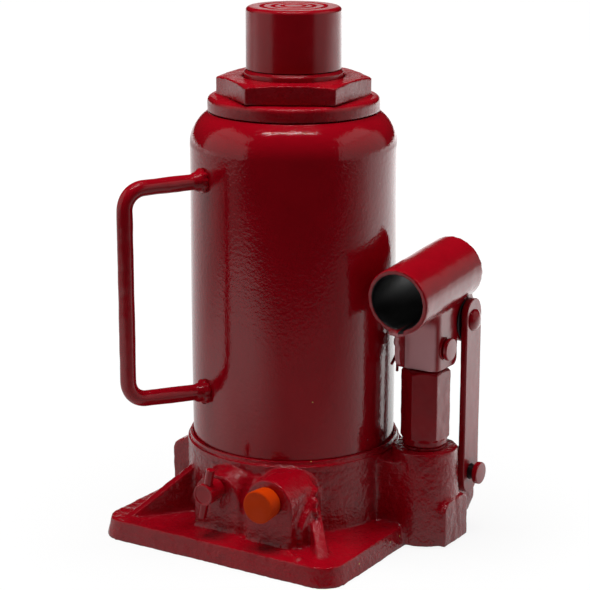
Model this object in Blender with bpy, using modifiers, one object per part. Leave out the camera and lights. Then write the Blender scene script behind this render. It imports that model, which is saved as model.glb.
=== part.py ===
"""Hydraulic bottle jack with a welded oil tank, a hexagonal hand pump and a swinging handle socket.

Metres, +Z up. The origin is on the underside of the base, on the axis of the ram. The valves face -Y and
the pump stands on +X. The ram is down and the pump is at the bottom of its stroke.
"""

import math

import bmesh
import bpy
from mathutils import Matrix, Vector

# Clearances
FIT = 0.0003  # between pieces that touch, seat or thread into each other
PROUD = 0.0010  # how far a cutter stands beyond its face, and a joined shape reaches into its neighbour
SUNK = 0.0020  # the same where more is needed
PLATE_SEAT_Z = 0.0040  # where what stands on the plate starts, inside it
RUNNING = 0.0009  # around the ram in the top nut

# Base casting
PLATE_THICKNESS = 0.0109
PLATE_BEYOND_LEFT = 0.0171  # how far the plate reaches beyond the tank on each side
PLATE_BEYOND_RIGHT = 0.0203
PLATE_BEYOND_FRONT = 0.0294
PLATE_BEYOND_REAR = 0.0075
PLATE_CORNER = 0.012
PLATE_DRAFT = 0.0015
RING_WALL = 0.0024
RING_DRAFT = 0.0012
RING_LIP_WALL = 0.0008
RING_LIP_HEIGHT = 0.0024
RING_GRIP = 0.0070  # depth of the recess that holds the tank
TANK_FLOOR_Z = 0.0440
CYLINDER_SEAT_DEPTH = 0.0080
WING_HEIGHT = 0.0370
WING_THICKNESS = 0.0200
WING_CORNER = 0.0060
WING_FRONT = 0.0160
FRONT_RIDGE_ANGLES = (-127.5, -48.8)
FRONT_RIDGE_REACH = 0.0950
FRONT_RIDGE_TOP = 0.0370
REAR_RIDGE_ANGLES = (44.0, 136.0)
REAR_RIDGE_REACH = 0.0840
REAR_RIDGE_TOP = 0.0470
RIDGE_WIDTH = 0.0080
GALLERY_Z = 0.0240
GALLERY_RADIUS = 0.0022
GALLERY_WIDE_RADIUS = 0.0034
GALLERY_SEAT = 0.0180  # how far from the ram's axis the discharge ball seats
GALLERY_END = 0.0100
RISER_RADIUS = 0.0030
CASTING_LIFT = 0.0006  # the pump boss and pad stay this clear of the ground
VALVE_DRILL_RADIUS = 0.0015
BOSS_ROOT = 0.0140  # how far the valve bosses reach in from the recess
RING_ROOT = 0.0050  # the same for the ridges, the wing and the bridge to the pump
DRAIN_RADIUS = 0.0018

# Tank, cylinder and top nut
TANK_RADIUS = 0.0555
TANK_WALL = 0.0030
TANK_HEIGHT = 0.1823
SHOULDER_RADIUS = 0.0220
TANK_GASKET_THICKNESS = 0.0017
CYLINDER_BORE = 0.0320  # radius
CYLINDER_WALL = 0.0060
CYLINDER_GASKET_THICKNESS = 0.0015
NUT_FLANGE_RADIUS = 0.0460
NUT_FLANGE_HEIGHT = 0.0089
NUT_FLANGE_ROUND = 0.0035
NUT_THREAD_DEPTH = 0.0076
NUT_ACROSS_FLATS = 0.0720
NUT_HEX_HEIGHT = 0.0088
NUT_HEX_TURN = 28.0
NUT_HEX_CHAMFER = 0.0010
NUT_HEX_ROOT = 0.0030  # how far the hexagon reaches down into the flange
NUT_SEAL_THICKNESS = 0.0012
NUT_SEAL_WIDTH = 0.0030
NUT_SEAL_INSET = 0.0023
WIPER_SETBACK = 0.0026  # below the nut's top
WIPER_HEIGHT = 0.0030
WIPER_DEPTH = 0.0025

# Ram and saddle
RAM_RADIUS = 0.0266
RAM_STANDOUT = 0.0056
RAM_CHAMFER = 0.0017
PISTON_HEIGHT = 0.0100
GUIDE_RING_HEIGHT = 0.0054
GUIDE_RING_DEPTH = 0.0018
BACKUP_RING_HEIGHT = 0.0051
CUP_SEAL_HEIGHT = 0.0063
CUP_LIP_WIDTH = 0.0025
CUP_HOLLOW_DEPTH = 0.0035
PISTON_SPIGOT_RADIUS = 0.0160
PISTON_SCREW_RADIUS = 0.0050
PISTON_SCREW_LENGTH = 0.0180
PISTON_SCREW_HEAD_RADIUS = 0.0220
PISTON_SCREW_HEAD_HEIGHT = 0.0049
PISTON_FLOOR_GAP = 0.0028
SADDLE_RADIUS = 0.0254
SADDLE_HEIGHT = 0.0325
SADDLE_ROUND = 0.0025
SADDLE_SPIGOT_RADIUS = 0.0140
SADDLE_SPIGOT_LENGTH = 0.0117
SADDLE_GROOVE_RADII = (0.0060, 0.0110, 0.0170)
SADDLE_GROOVE_WIDTH = 0.0020
SADDLE_GROOVE_DEPTH = 0.0008

# Carry handle
HANDLE_ANGLE = -116.5
HANDLE_ROD_RADIUS = 0.0043
HANDLE_REACH = 0.1020
HANDLE_TOP_Z = 0.1970
HANDLE_LOW_Z = 0.0815
HANDLE_LOW_RISE = 0.0020
HANDLE_BEND = 0.0110
WELD_RADIUS = 0.0068
WELD_HEIGHT = 0.0050

# Release valve, in the arched boss on the left of the front
RELEASE_X = -0.0060
RELEASE_Z = 0.0353
RELEASE_FACE = 0.0680
RELEASE_BORE = 0.0052
RELEASE_BORE_END = 0.0435
RELEASE_BOSS_RADIUS = 0.0145
RELEASE_BOSS_TOP = 0.0430
SPINDLE_RADIUS = 0.0059
SPINDLE_FRONT = 0.0810
TOMMY_RADIUS = 0.0023
TOMMY_LENGTH = 0.0290
TOMMY_Y = 0.0775
TOMMY_TILT = 12.0
RELEASE_BALL_RADIUS = 0.0024
O_RING_WIDTH = 0.0022
O_RING_DEPTH = 0.0013
O_RING_Y = 0.0600

# Overload valve, in the arched boss on the right of the front
OVERLOAD_X = 0.0285
OVERLOAD_Z = 0.0356
OVERLOAD_FACE = 0.0710
OVERLOAD_BORE = 0.0062
OVERLOAD_BORE_END = 0.0440
OVERLOAD_BOSS_RADIUS = 0.0145
OVERLOAD_BOSS_TOP = 0.0473
CAP_FRONT = 0.0815
CAP_RADIUS = 0.0090
CAP_BACK_RADIUS = 0.0082
CAP_SPIGOT_LENGTH = 0.0060
OVERLOAD_SCREW_LENGTH = 0.0070
OVERLOAD_BALL_RADIUS = 0.0025

# Pump
PUMP_OFFSET = 0.0217  # from the tank's wall to the pump's axis
PUMP_Y = 0.0102
PUMP_BOSS_TOP = 0.0522
PUMP_BOSS_FOOT_RADIUS = 0.0198
PUMP_BOSS_TOP_RADIUS = 0.0177
PUMP_BRIDGE_FRONT = 0.0080
PUMP_BRIDGE_REAR = 0.0220
PUMP_BRIDGE_TOP = 0.0460
PUMP_WELL_RADIUS = 0.0100
PUMP_WELL_FLOOR_Z = 0.0300
PUMP_CHAMBER_FLOOR_Z = 0.0210
SUCTION_WELL_RADIUS = 0.0042
SUCTION_WELL_FLOOR_Z = 0.0140
SUCTION_SEAT_RADIUS = 0.0020
SUCTION_LOW_Z = 0.0065
SUCTION_MOUTH_ANGLE = 27.65
SUCTION_BALL_RADIUS = 0.0036
PAD_REACH = 0.0196  # from the pump's axis
PAD_WIDTH = 0.0260
PAD_TOP = 0.0250
PAD_Y = 0.0110
HEX_ACROSS_FLATS = 0.0231
HEX_TURN = 25.0
HEX_CHAMFER_TOP = 0.0016
HEX_CHAMFER_FOOT = 0.0012
PUMP_HEADROOM = 0.0005  # from the pump cylinder up to the bracket, at the bottom of the stroke
PUMP_WASHER_THICKNESS = 0.0012
PUMP_COLLAR_RADIUS = 0.0122
PUMP_COLLAR_HEIGHT = 0.0030
PLUNGER_RADIUS = 0.0062
PLUNGER_SLACK = 0.0006  # between the rod and the barrel, which the cup seals
PLUNGER_FOOT_GAP = 0.0040
PLUNGER_CUP_HEIGHT = 0.0050
PLUNGER_CUP_SETBACK = 0.0015
PLUNGER_CUP_DEPTH = 0.0018
EYE_RADIUS = 0.0059
EYE_HALF_WIDTH = 0.0077
EYE_FOOT_DROP = 0.0109  # below the plunger pin
EYE_SLOT_TRAVEL = 0.0012  # each way, for the swing that the links' constant ratio leaves over

# Pivots of the linkage: plunger pin, and the two pins of the links
PLUNGER_PIN_DROP = 0.0111  # below the links' upper pin
LINK_PIN_Y = 0.0336
LOWER_PIN_Z = 0.0329
LINK_LENGTH = 0.0862
PLUNGER_PIN_RADIUS = 0.0032
LINK_PIN_RADIUS = 0.0040
PIN_HEAD_RADIUS = 0.0061
PLUNGER_PIN_STANDOUT = 0.0038
PLUNGER_PIN_HEAD_HEIGHT = 0.0020
LOWER_PIN_STANDOUT = 0.0064
LOWER_PIN_HEAD_HEIGHT = 0.0026
UPPER_PIN_HEAD_HEIGHT = 0.0030
LINK_THICKNESS = 0.0037
LINK_HALF_WIDTH = 0.0083
LINK_END_OFFSET = 0.0037
LINK_GAP = 0.0013  # from the bracket's side to the link, where the washer runs
WASHER_RADIUS = 0.0115
LUG_RADIUS = 0.0125
COTTER_RADIUS = 0.0010
COTTER_LEG = 0.0110
PIN_TAIL = 0.0070

# Handle socket
BRACKET_HALF_WIDTH = 0.0114
BRACKET_WALL = 0.0032
WEB_THICKNESS = 0.0020
WEB_FRONT_Y = 0.0010
BRACKET_FOOT_DROP = 0.0115  # below the plunger pin
BRACKET_REAR_Y = 0.0240
BRACKET_ROUND = 0.0045
LEFT_LEG_REACH = 0.0055
LEFT_LEG_ROUND = 0.0075
SOCKET_RADIUS = 0.0176
HOLLOW_OVERLAP = 0.0008  # how far the bracket's hollow rises into the barrel's wall
SOCKET_BORE = 0.0148
SOCKET_MOUTH_Y = -0.0230
SOCKET_MOUTH_RISE = 0.0202  # above the links' upper pin
SOCKET_TAIL_Y = 0.0402
SOCKET_TAIL_RISE = 0.0258
TAIL_LUG_RADIUS = 0.0125
TAIL_LUG_SETBACK = 0.0040  # from the tail of the barrel
SOCKET_ROOT = 0.0060  # how far below the barrel's axis the lug and the left leg end, inside the barrel

# Balls, springs and plugs in the base
BALL_SEATING = 0.0002  # how far a ball sits into the mouth of its seat
DISCHARGE_BALL_RADIUS = 0.0029
SPRING_WIRE = 0.0005
SPRING_RADIUS = 0.0020
DISCHARGE_SPRING_LENGTH = 0.0200
DISCHARGE_SCREW_LENGTH = 0.0100
PLUG_RADIUS = 0.0047
PLUG_LENGTH = 0.0095

# Filler at the back of the tank
FILLER_Z = 0.1850
FILLER_RADIUS = 0.0060
FILLER_HEAD_RADIUS = 0.0085
FILLER_HEAD_HEIGHT = 0.0030
FILLER_LIP = 0.0008
FILTER_RADIUS = 0.0036
FILTER_GAP = 0.0006
FILTER_WALL = 0.0006
FILTER_HEIGHT = 0.0060

# Numbers of sides of turned pieces
LARGE_STEPS = 40
MEDIUM_STEPS = 24
PLUNGER_STEPS = 16
SMALL_STEPS = 12
COIL_STEPS = 8

# Heights that follow from the sizes above, from the base up
RING_TOP_Z = TANK_FLOOR_Z + RING_GRIP
CYLINDER_SEAT_Z = TANK_FLOOR_Z - CYLINDER_SEAT_DEPTH
TANK_FOOT_Z = TANK_FLOOR_Z + TANK_GASKET_THICKNESS + 2 * FIT
TANK_TOP_Z = TANK_FOOT_Z + TANK_HEIGHT
CYLINDER_RADIUS = CYLINDER_BORE + CYLINDER_WALL
CYLINDER_FOOT_Z = CYLINDER_SEAT_Z + CYLINDER_GASKET_THICKNESS + 2 * FIT
NUT_FOOT_Z = TANK_TOP_Z + FIT
NUT_SHOULDER_Z = NUT_FOOT_Z + NUT_FLANGE_HEIGHT
NUT_TOP_Z = NUT_SHOULDER_Z + NUT_HEX_HEIGHT
NUT_THREAD_TOP_Z = NUT_FOOT_Z + NUT_THREAD_DEPTH
CYLINDER_TOP_Z = NUT_THREAD_TOP_Z - FIT
RAM_TOP_Z = NUT_TOP_Z + RAM_STANDOUT
SADDLE_FOOT_Z = RAM_TOP_Z + FIT
SADDLE_TOP_Z = SADDLE_FOOT_Z + SADDLE_HEIGHT
SCREW_HEAD_FOOT_Z = CYLINDER_SEAT_Z + PISTON_FLOOR_GAP
SCREW_HEAD_TOP_Z = SCREW_HEAD_FOOT_Z + PISTON_SCREW_HEAD_HEIGHT
RAM_FOOT_Z = SCREW_HEAD_TOP_Z + FIT
CUP_SEAL_TOP_Z = RAM_FOOT_Z + CUP_SEAL_HEIGHT
BACKUP_FOOT_Z = CUP_SEAL_TOP_Z + FIT
BACKUP_TOP_Z = BACKUP_FOOT_Z + BACKUP_RING_HEIGHT
PISTON_FOOT_Z = BACKUP_TOP_Z + FIT
PISTON_TOP_Z = PISTON_FOOT_Z + PISTON_HEIGHT
PISTON_RADIUS = CYLINDER_BORE - FIT
UPPER_PIN_Z = LOWER_PIN_Z + LINK_LENGTH
PLUNGER_PIN_Z = UPPER_PIN_Z - PLUNGER_PIN_DROP
EYE_FOOT_Z = PLUNGER_PIN_Z - EYE_FOOT_DROP
BRACKET_FOOT_Z = PLUNGER_PIN_Z - BRACKET_FOOT_DROP
SOCKET_MOUTH_Z = UPPER_PIN_Z + SOCKET_MOUTH_RISE
SOCKET_TAIL_Z = UPPER_PIN_Z + SOCKET_TAIL_RISE
HOLLOW_TOP_Z = SOCKET_MOUTH_Z - SOCKET_RADIUS + HOLLOW_OVERLAP
PUMP_COLLAR_FOOT_Z = PUMP_BOSS_TOP + PUMP_WASHER_THICKNESS + 2 * FIT
HEX_FOOT_Z = PUMP_COLLAR_FOOT_Z + PUMP_COLLAR_HEIGHT
HEX_TOP_Z = BRACKET_FOOT_Z - PUMP_HEADROOM
PLUNGER_BORE = PLUNGER_RADIUS + PLUNGER_SLACK
PLUNGER_FOOT_Z = PUMP_WELL_FLOOR_Z + PLUNGER_FOOT_GAP

# Places across the object that follow from the tank's radius
PLATE_LEFT = TANK_RADIUS + PLATE_BEYOND_LEFT
PLATE_RIGHT = TANK_RADIUS + PLATE_BEYOND_RIGHT
PLATE_FRONT = TANK_RADIUS + PLATE_BEYOND_FRONT
PLATE_REAR = TANK_RADIUS + PLATE_BEYOND_REAR
PUMP_X = TANK_RADIUS + PUMP_OFFSET
PAD_X = PUMP_X + PAD_REACH
SUCTION_MOUTH_REACH = TANK_RADIUS - TANK_WALL - FILTER_GAP - FILTER_RADIUS
SUCTION_MOUTH = (
    SUCTION_MOUTH_REACH * math.cos(math.radians(SUCTION_MOUTH_ANGLE)),
    SUCTION_MOUTH_REACH * math.sin(math.radians(SUCTION_MOUTH_ANGLE)),
)

# The ring's radii and the linkage's places across the object
RECESS_RADIUS = TANK_RADIUS + FIT
RING_RADIUS = RECESS_RADIUS + RING_WALL
LINK_INNER = BRACKET_HALF_WIDTH + LINK_GAP
LINK_OUTER = LINK_INNER + LINK_THICKNESS
LOWER_LUG_HALF_WIDTH = LINK_INNER - FIT

# Directions, as rotations of a shape drawn in its own X and Y and thick along Z
FACING_FRONT = (math.radians(90), 0, 0)  # own Z to -Y, own Y up
FACING_RIGHT = (0, math.radians(90), 0)  # own Z to +X
SIDE_ON = (math.radians(90), 0, math.radians(90))  # own X to +Y, own Y up


def clear_scene():
    for existing in list(bpy.data.objects):
        bpy.data.objects.remove(existing, do_unlink=True)


def new_collection(name):
    collection = bpy.data.collections.new(name)
    bpy.context.scene.collection.children.link(collection)
    return collection


def make_material(name, colour, roughness, metallic=0.0):
    material = bpy.data.materials.new(name)
    material.use_nodes = True
    shader = material.node_tree.nodes["Principled BSDF"]
    shader.inputs["Base Color"].default_value = (*colour, 1.0)
    shader.inputs["Roughness"].default_value = roughness
    shader.inputs["Metallic"].default_value = metallic
    return material


clear_scene()
PARTS = new_collection("bottle_jack")
HELPERS = new_collection("helpers")
ENAMEL = make_material("red_enamel", (0.42, 0.004, 0.012), 0.18)
CAST_ENAMEL = make_material("red_enamel_on_casting", (0.36, 0.004, 0.012), 0.30)
BLACK_STEEL = make_material("black_steel", (0.02, 0.02, 0.022), 0.45, 0.6)
BRIGHT_STEEL = make_material("bright_steel", (0.55, 0.55, 0.56), 0.25, 1.0)
BRASS = make_material("brass", (0.70, 0.50, 0.20), 0.30, 1.0)
RUBBER = make_material("black_rubber", (0.02, 0.02, 0.02), 0.75)
SEAL = make_material("seal_polyurethane", (0.55, 0.42, 0.20), 0.50)
ORANGE = make_material("orange_plastic", (0.70, 0.16, 0.02), 0.50)


# Shapes


def add_object(name, mesh, location=(0, 0, 0), rotation=(0, 0, 0)):
    thing = bpy.data.objects.new(name, mesh)
    thing.location = location
    thing.rotation_euler = rotation
    HELPERS.objects.link(thing)
    thing.hide_render = True
    thing.display_type = "WIRE"
    return thing


def finish(thing, material, parent=None):
    """Makes a shape one of the jack's pieces."""
    HELPERS.objects.unlink(thing)
    PARTS.objects.link(thing)
    thing.hide_render = False
    thing.display_type = "TEXTURED"
    thing.data.materials.clear()
    thing.data.materials.append(material)
    thing.data.shade_smooth()
    thing.data.set_sharp_from_angle(angle=math.radians(35))
    if parent:
        thing.parent = parent
        thing.matrix_parent_inverse = Matrix.Translation(-parent.location)
    return thing


def pivot(name, location):
    """An empty on a joint's axis, which carries the pieces that the joint moves."""
    empty = bpy.data.objects.new(name, None)
    empty.location = location
    empty.empty_display_size = 0.01
    PARTS.objects.link(empty)
    return empty


def mesh_from(name, shape):
    mesh = bpy.data.meshes.new(name)
    shape.to_mesh(mesh)
    shape.free()
    return mesh


def box(name, low, high, corner=0.0, draft=0.0):
    """A box between two corners. Its upright edges are rounded, and its sides lean in by the draft."""
    low, high = Vector(low), Vector(high)
    shape = bmesh.new()
    bmesh.ops.create_cube(shape, size=1.0)
    bmesh.ops.scale(shape, vec=high - low, verts=shape.verts)
    if corner:
        upright = [e for e in shape.edges if abs(e.verts[0].co.z - e.verts[1].co.z) > (high - low).z / 2]
        bmesh.ops.bevel(shape, geom=upright, offset=corner, segments=5, profile=0.5, affect="EDGES")
    for vertex in shape.verts:
        if vertex.co.z > 0:
            vertex.co.x -= math.copysign(draft, vertex.co.x)
            vertex.co.y -= math.copysign(draft, vertex.co.y)
    return add_object(name, mesh_from(name, shape), (low + high) / 2)


def arc(centre, radius, start, end, steps):
    """Points on an arc, with its angles in degrees."""
    points = []
    for step in range(steps + 1):
        angle = math.radians(start + (end - start) * step / steps)
        points.append((centre[0] + radius * math.cos(angle), centre[1] + radius * math.sin(angle)))
    return points


def slab(name, outline, thickness, location=(0, 0, 0), rotation=(0, 0, 0)):
    """A flat outline, given thickness about its own plane."""
    curve = bpy.data.curves.new(name, "CURVE")
    curve.dimensions = "2D"
    curve.fill_mode = "BOTH"
    curve.extrude = thickness / 2
    spline = curve.splines.new("POLY")
    spline.points.add(len(outline) - 1)
    for point, (x, y) in zip(spline.points, outline):
        point.co = (x, y, 0, 1)
    spline.use_cyclic_u = True
    return curve_as_mesh(name, curve, location, rotation)


def rod(name, points, radius, resolution=2):
    """A round rod along a line of points."""
    curve = bpy.data.curves.new(name, "CURVE")
    curve.dimensions = "3D"
    curve.bevel_depth = radius
    curve.bevel_resolution = resolution
    curve.use_fill_caps = True
    spline = curve.splines.new("POLY")
    spline.points.add(len(points) - 1)
    for point, place in zip(spline.points, points):
        point.co = (*place, 1)
    return curve_as_mesh(name, curve, (0, 0, 0), (0, 0, 0))


def curve_as_mesh(name, curve, location, rotation):
    holder = bpy.data.objects.new(name + "_curve", curve)
    bpy.context.scene.collection.objects.link(holder)
    graph = bpy.context.evaluated_depsgraph_get()
    mesh = bpy.data.meshes.new_from_object(holder.evaluated_get(graph))
    bpy.data.objects.remove(holder, do_unlink=True)
    bpy.data.curves.remove(curve)
    shape = bmesh.new()
    shape.from_mesh(mesh)
    bmesh.ops.remove_doubles(shape, verts=shape.verts, dist=1e-6)
    bmesh.ops.recalc_face_normals(shape, faces=shape.faces)
    shape.to_mesh(mesh)
    shape.free()
    return add_object(name, mesh, location, rotation)


def turned(name, profile, steps=MEDIUM_STEPS, ring=False, location=(0, 0, 0), rotation=(0, 0, 0)):
    """A turned shape. The profile of (radius, height) runs down its outer side, or all round a ring."""
    mesh = bpy.data.meshes.new(name)
    edges = [(i, i + 1) for i in range(len(profile) - 1)]
    if ring:
        edges.append((len(profile) - 1, 0))
    mesh.from_pydata([(radius, 0, height) for radius, height in profile], edges, [])
    thing = add_object(name, mesh, location, rotation)
    screw = thing.modifiers.new("turn", "SCREW")
    screw.axis = "Z"
    screw.steps = steps
    screw.render_steps = steps
    screw.use_merge_vertices = True
    screw.merge_threshold = 0.00001
    screw.use_smooth_shade = True
    return thing


def cylinder(name, radius, low, high, steps=MEDIUM_STEPS, location=(0, 0, 0), rotation=(0, 0, 0)):
    profile = [(0, high), (radius, high), (radius, low), (0, low)]
    return turned(name, profile, steps, False, location, rotation)


def tube(name, inner, outer, low, high, steps=MEDIUM_STEPS, location=(0, 0, 0), rotation=(0, 0, 0)):
    profile = [(inner, high), (outer, high), (outer, low), (inner, low)]
    return turned(name, profile, steps, True, location, rotation)


def ball(name, radius, location):
    shape = bmesh.new()
    bmesh.ops.create_uvsphere(shape, u_segments=10, v_segments=6, radius=radius)
    return add_object(name, mesh_from(name, shape), location)


def hexagon(name, across_flats, low, high, turn, location=(0, 0, 0)):
    shape = bmesh.new()
    radius = across_flats / math.sqrt(3)
    bmesh.ops.create_cone(
        shape, cap_ends=True, segments=6, radius1=radius, radius2=radius, depth=high - low
    )
    bmesh.ops.translate(shape, vec=(0, 0, (low + high) / 2), verts=shape.verts)
    # create_cone starts its corners on +Y
    return add_object(name, mesh_from(name, shape), location, (0, 0, math.radians(turn - 90)))


def drill(name, start, end, radius, steps=SMALL_STEPS):
    """A round cutter between two points."""
    start, end = Vector(start), Vector(end)
    rotation = (end - start).to_track_quat("Z", "Y").to_euler()
    return cylinder(name, radius, 0, (end - start).length, steps, start, rotation)


def combine(target, operation, others, solver="EXACT"):
    for other in others:
        modifier = target.modifiers.new(operation.lower() + "_" + other.name, "BOOLEAN")
        modifier.operation = operation
        modifier.solver = solver
        modifier.object = other
    return target


def join(target, *others):
    return combine(target, "UNION", others)


def cut(target, *others):
    return combine(target, "DIFFERENCE", others)


def trim(target, *others):
    return combine(target, "INTERSECT", others)


def bore_out(target, *others):
    """Cuts holes that cross each other, which the exact solver can leave open where they meet."""
    return combine(target, "DIFFERENCE", others, "MANIFOLD")


def weld_on(target, *others):
    """Joins shapes whose sides lie in one plane, where the exact solver can leave doubled edges."""
    return combine(target, "UNION", others, "MANIFOLD")


def around(angle, reach, height):
    """The point at an angle about the ram's axis, in degrees from +X."""
    return (reach * math.cos(math.radians(angle)), reach * math.sin(math.radians(angle)), height)


def helix(start, end, radius, turns):
    """Points of a coil from one point to another."""
    start, end = Vector(start), Vector(end)
    axis = (end - start).normalized()
    across = axis.cross(Vector((0, 0, 1))).normalized()
    up = across.cross(axis)
    count = COIL_STEPS * turns
    points = []
    for step in range(count + 1):
        angle = 2 * math.pi * turns * step / count
        spoke = across * math.cos(angle) + up * math.sin(angle)
        points.append(start + (end - start) * step / count + spoke * radius)
    return points


# Base casting

GALLERY_ANGLE = math.degrees(math.atan2(PUMP_Y, PUMP_X))
WING_END = -(PLATE_LEFT - PLATE_DRAFT - FIT)
GALLERY_MOUTH = -WING_END / math.cos(math.radians(GALLERY_ANGLE))  # from the ram's axis to the wing's end
GALLERY_MOUTH_DEPTH = 0.0100


def boss(name, x, face, radius, top, rear_top):
    """An arched boss that reaches forward from the ring, and rises a little towards it."""
    outline = [(radius, PLATE_SEAT_Z)] + arc((0, top - radius), radius, 0, 180, 8)
    outline.append((-radius, PLATE_SEAT_Z))
    depth = face - RECESS_RADIUS + BOSS_ROOT
    shape = slab(name, outline, depth, (x, depth / 2 - face, 0), FACING_FRONT)
    for vertex in shape.data.vertices:
        if vertex.co.z < 0:
            vertex.co.y *= rear_top / top
    return shape


def ridge(name, angle, reach, top):
    inside = RECESS_RADIUS - RING_ROOT
    outline = [
        (inside, PLATE_SEAT_Z),
        (reach, PLATE_SEAT_Z),
        (reach, PLATE_THICKNESS + PROUD),
        (RING_RADIUS, top),
        (inside, top),
    ]
    return slab(name, outline, RIDGE_WIDTH, (0, 0, 0), (math.radians(90), 0, math.radians(angle)))


def wing():
    inside = -(RECESS_RADIUS - RING_ROOT)
    corner = (WING_END + WING_CORNER, WING_HEIGHT - WING_CORNER)
    outline = [(WING_END, PLATE_SEAT_Z), (inside, PLATE_SEAT_Z), (inside, RING_TOP_Z - 0.005)]
    outline += arc(corner, WING_CORNER, 90, 180, 5)
    middle = WING_THICKNESS / 2 - WING_FRONT
    return slab("wing", outline, WING_THICKNESS, (0, middle, 0), FACING_FRONT)


def ring():
    outer = RING_RADIUS + RING_DRAFT
    lip = RECESS_RADIUS + RING_LIP_WALL
    profile = [
        (0, RING_TOP_Z),
        (lip, RING_TOP_Z),
        (RING_RADIUS - 0.0006, RING_TOP_Z - RING_LIP_HEIGHT),
        (RING_RADIUS, RING_TOP_Z - 2 * RING_LIP_HEIGHT),
        (outer, PLATE_THICKNESS),
        (outer, 0.003),
        (0, 0.003),
    ]
    return turned("ring", profile, LARGE_STEPS)


def pump_boss():
    profile = [
        (0, PUMP_BOSS_TOP),
        (PUMP_BOSS_TOP_RADIUS, PUMP_BOSS_TOP),
        (PUMP_BOSS_FOOT_RADIUS, CASTING_LIFT),
        (0, CASTING_LIFT),
    ]
    return turned("pump_boss", profile, MEDIUM_STEPS, location=(PUMP_X, PUMP_Y, 0))


def pump_bridge():
    return box(
        "pump_bridge",
        (RECESS_RADIUS - RING_ROOT, -PUMP_BRIDGE_FRONT, PLATE_SEAT_Z),
        (PUMP_X, PUMP_BRIDGE_REAR, PUMP_BRIDGE_TOP),
    )


def pad():
    half = PAD_WIDTH / 2
    corner = 0.0055
    outline = [(-half, CASTING_LIFT), (half, CASTING_LIFT)]
    outline += arc((half - corner, PAD_TOP - corner), corner, 0, 90, 4)
    outline += arc((corner - half, PAD_TOP - corner), corner, 90, 180, 4)
    reach = PAD_X - PUMP_X
    return slab("pad", outline, reach, (PUMP_X + reach / 2, PAD_Y, 0), SIDE_ON)


def lower_lug():
    front = PUMP_Y + 0.004
    rear = LINK_PIN_Y + LUG_RADIUS
    foot = 0.0075
    outline = [(front, foot), (rear - 0.006, foot), (rear, foot + 0.006)]
    outline += arc((LINK_PIN_Y, LOWER_PIN_Z), LUG_RADIUS, 0, 90, 6)
    outline.append((front, LOWER_PIN_Z + LUG_RADIUS))
    return slab("lower_lug", outline, 2 * LOWER_LUG_HALF_WIDTH, (PUMP_X, 0, 0), SIDE_ON)


def seats():
    """The recess for the tank, with the deeper seat of the cylinder in it."""
    above = RING_TOP_Z + PROUD
    seat = CYLINDER_RADIUS + FIT
    profile = [
        (0, above),
        (RECESS_RADIUS, above),
        (RECESS_RADIUS, TANK_FLOOR_Z),
        (seat, TANK_FLOOR_Z),
        (seat, CYLINDER_SEAT_Z),
        (0, CYLINDER_SEAT_Z),
    ]
    return turned("seats", profile, LARGE_STEPS)


def pump_well():
    """Bore of the pump's thread, then the chamber, then the well and seat of the suction ball."""
    above = PUMP_BOSS_TOP + PROUD
    profile = [
        (0, above),
        (PUMP_WELL_RADIUS, above),
        (PUMP_WELL_RADIUS, PUMP_WELL_FLOOR_Z),
        (PLUNGER_BORE, PUMP_WELL_FLOOR_Z),
        (PLUNGER_BORE, PUMP_CHAMBER_FLOOR_Z),
        (SUCTION_WELL_RADIUS, PUMP_CHAMBER_FLOOR_Z),
        (SUCTION_WELL_RADIUS, SUCTION_WELL_FLOOR_Z),
        (SUCTION_SEAT_RADIUS, SUCTION_WELL_FLOOR_Z),
        (SUCTION_SEAT_RADIUS, SUCTION_LOW_Z),
        (0, SUCTION_LOW_Z),
    ]
    return turned("pump_well", profile, PLUNGER_STEPS, location=(PUMP_X, PUMP_Y, 0))


def gallery_point(reach):
    return around(GALLERY_ANGLE, reach, GALLERY_Z)


def valve_drills(name, x, z, bore, bore_end):
    """A valve's bore from the front, its passage down to the gallery, and its drain up to the tank."""
    drain_y = -(bore_end + 2 * DRAIN_RADIUS + 0.0022)
    return [
        drill(name + "_bore", (x, -PLATE_FRONT, z), (x, -bore_end, z), bore),
        drill(name + "_passage", (x, -bore_end - PROUD, z), (0, 0, GALLERY_Z), VALVE_DRILL_RADIUS),
        drill(name + "_drain", (x, drain_y, z), (x, drain_y, TANK_FLOOR_Z + PROUD), DRAIN_RADIUS),
    ]


def drills():
    above = CYLINDER_SEAT_Z + PROUD
    outside = -GALLERY_MOUTH - 0.004
    mouth_floor = GALLERY_MOUTH_DEPTH - GALLERY_MOUTH
    pump_floor = (PUMP_X, PUMP_Y, SUCTION_LOW_Z)
    pump_reach = math.hypot(PUMP_X, PUMP_Y)
    return [
        drill("gallery_narrow", gallery_point(pump_reach), gallery_point(GALLERY_END), GALLERY_RADIUS),
        drill("gallery_wide", gallery_point(GALLERY_SEAT), gallery_point(outside), GALLERY_WIDE_RADIUS),
        drill("gallery_mouth", gallery_point(mouth_floor), gallery_point(outside), PLUG_RADIUS + FIT),
        drill("riser", (0, 0, GALLERY_Z), (0, 0, above), RISER_RADIUS),
        drill("suction_passage", (*SUCTION_MOUTH, TANK_FLOOR_Z + 0.002), pump_floor, DRAIN_RADIUS),
        drill(
            "lower_pin_hole",
            (PUMP_X - LINK_OUTER, LINK_PIN_Y, LOWER_PIN_Z),
            (PUMP_X + LINK_OUTER, LINK_PIN_Y, LOWER_PIN_Z),
            LINK_PIN_RADIUS + FIT,
        ),
    ]


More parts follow.
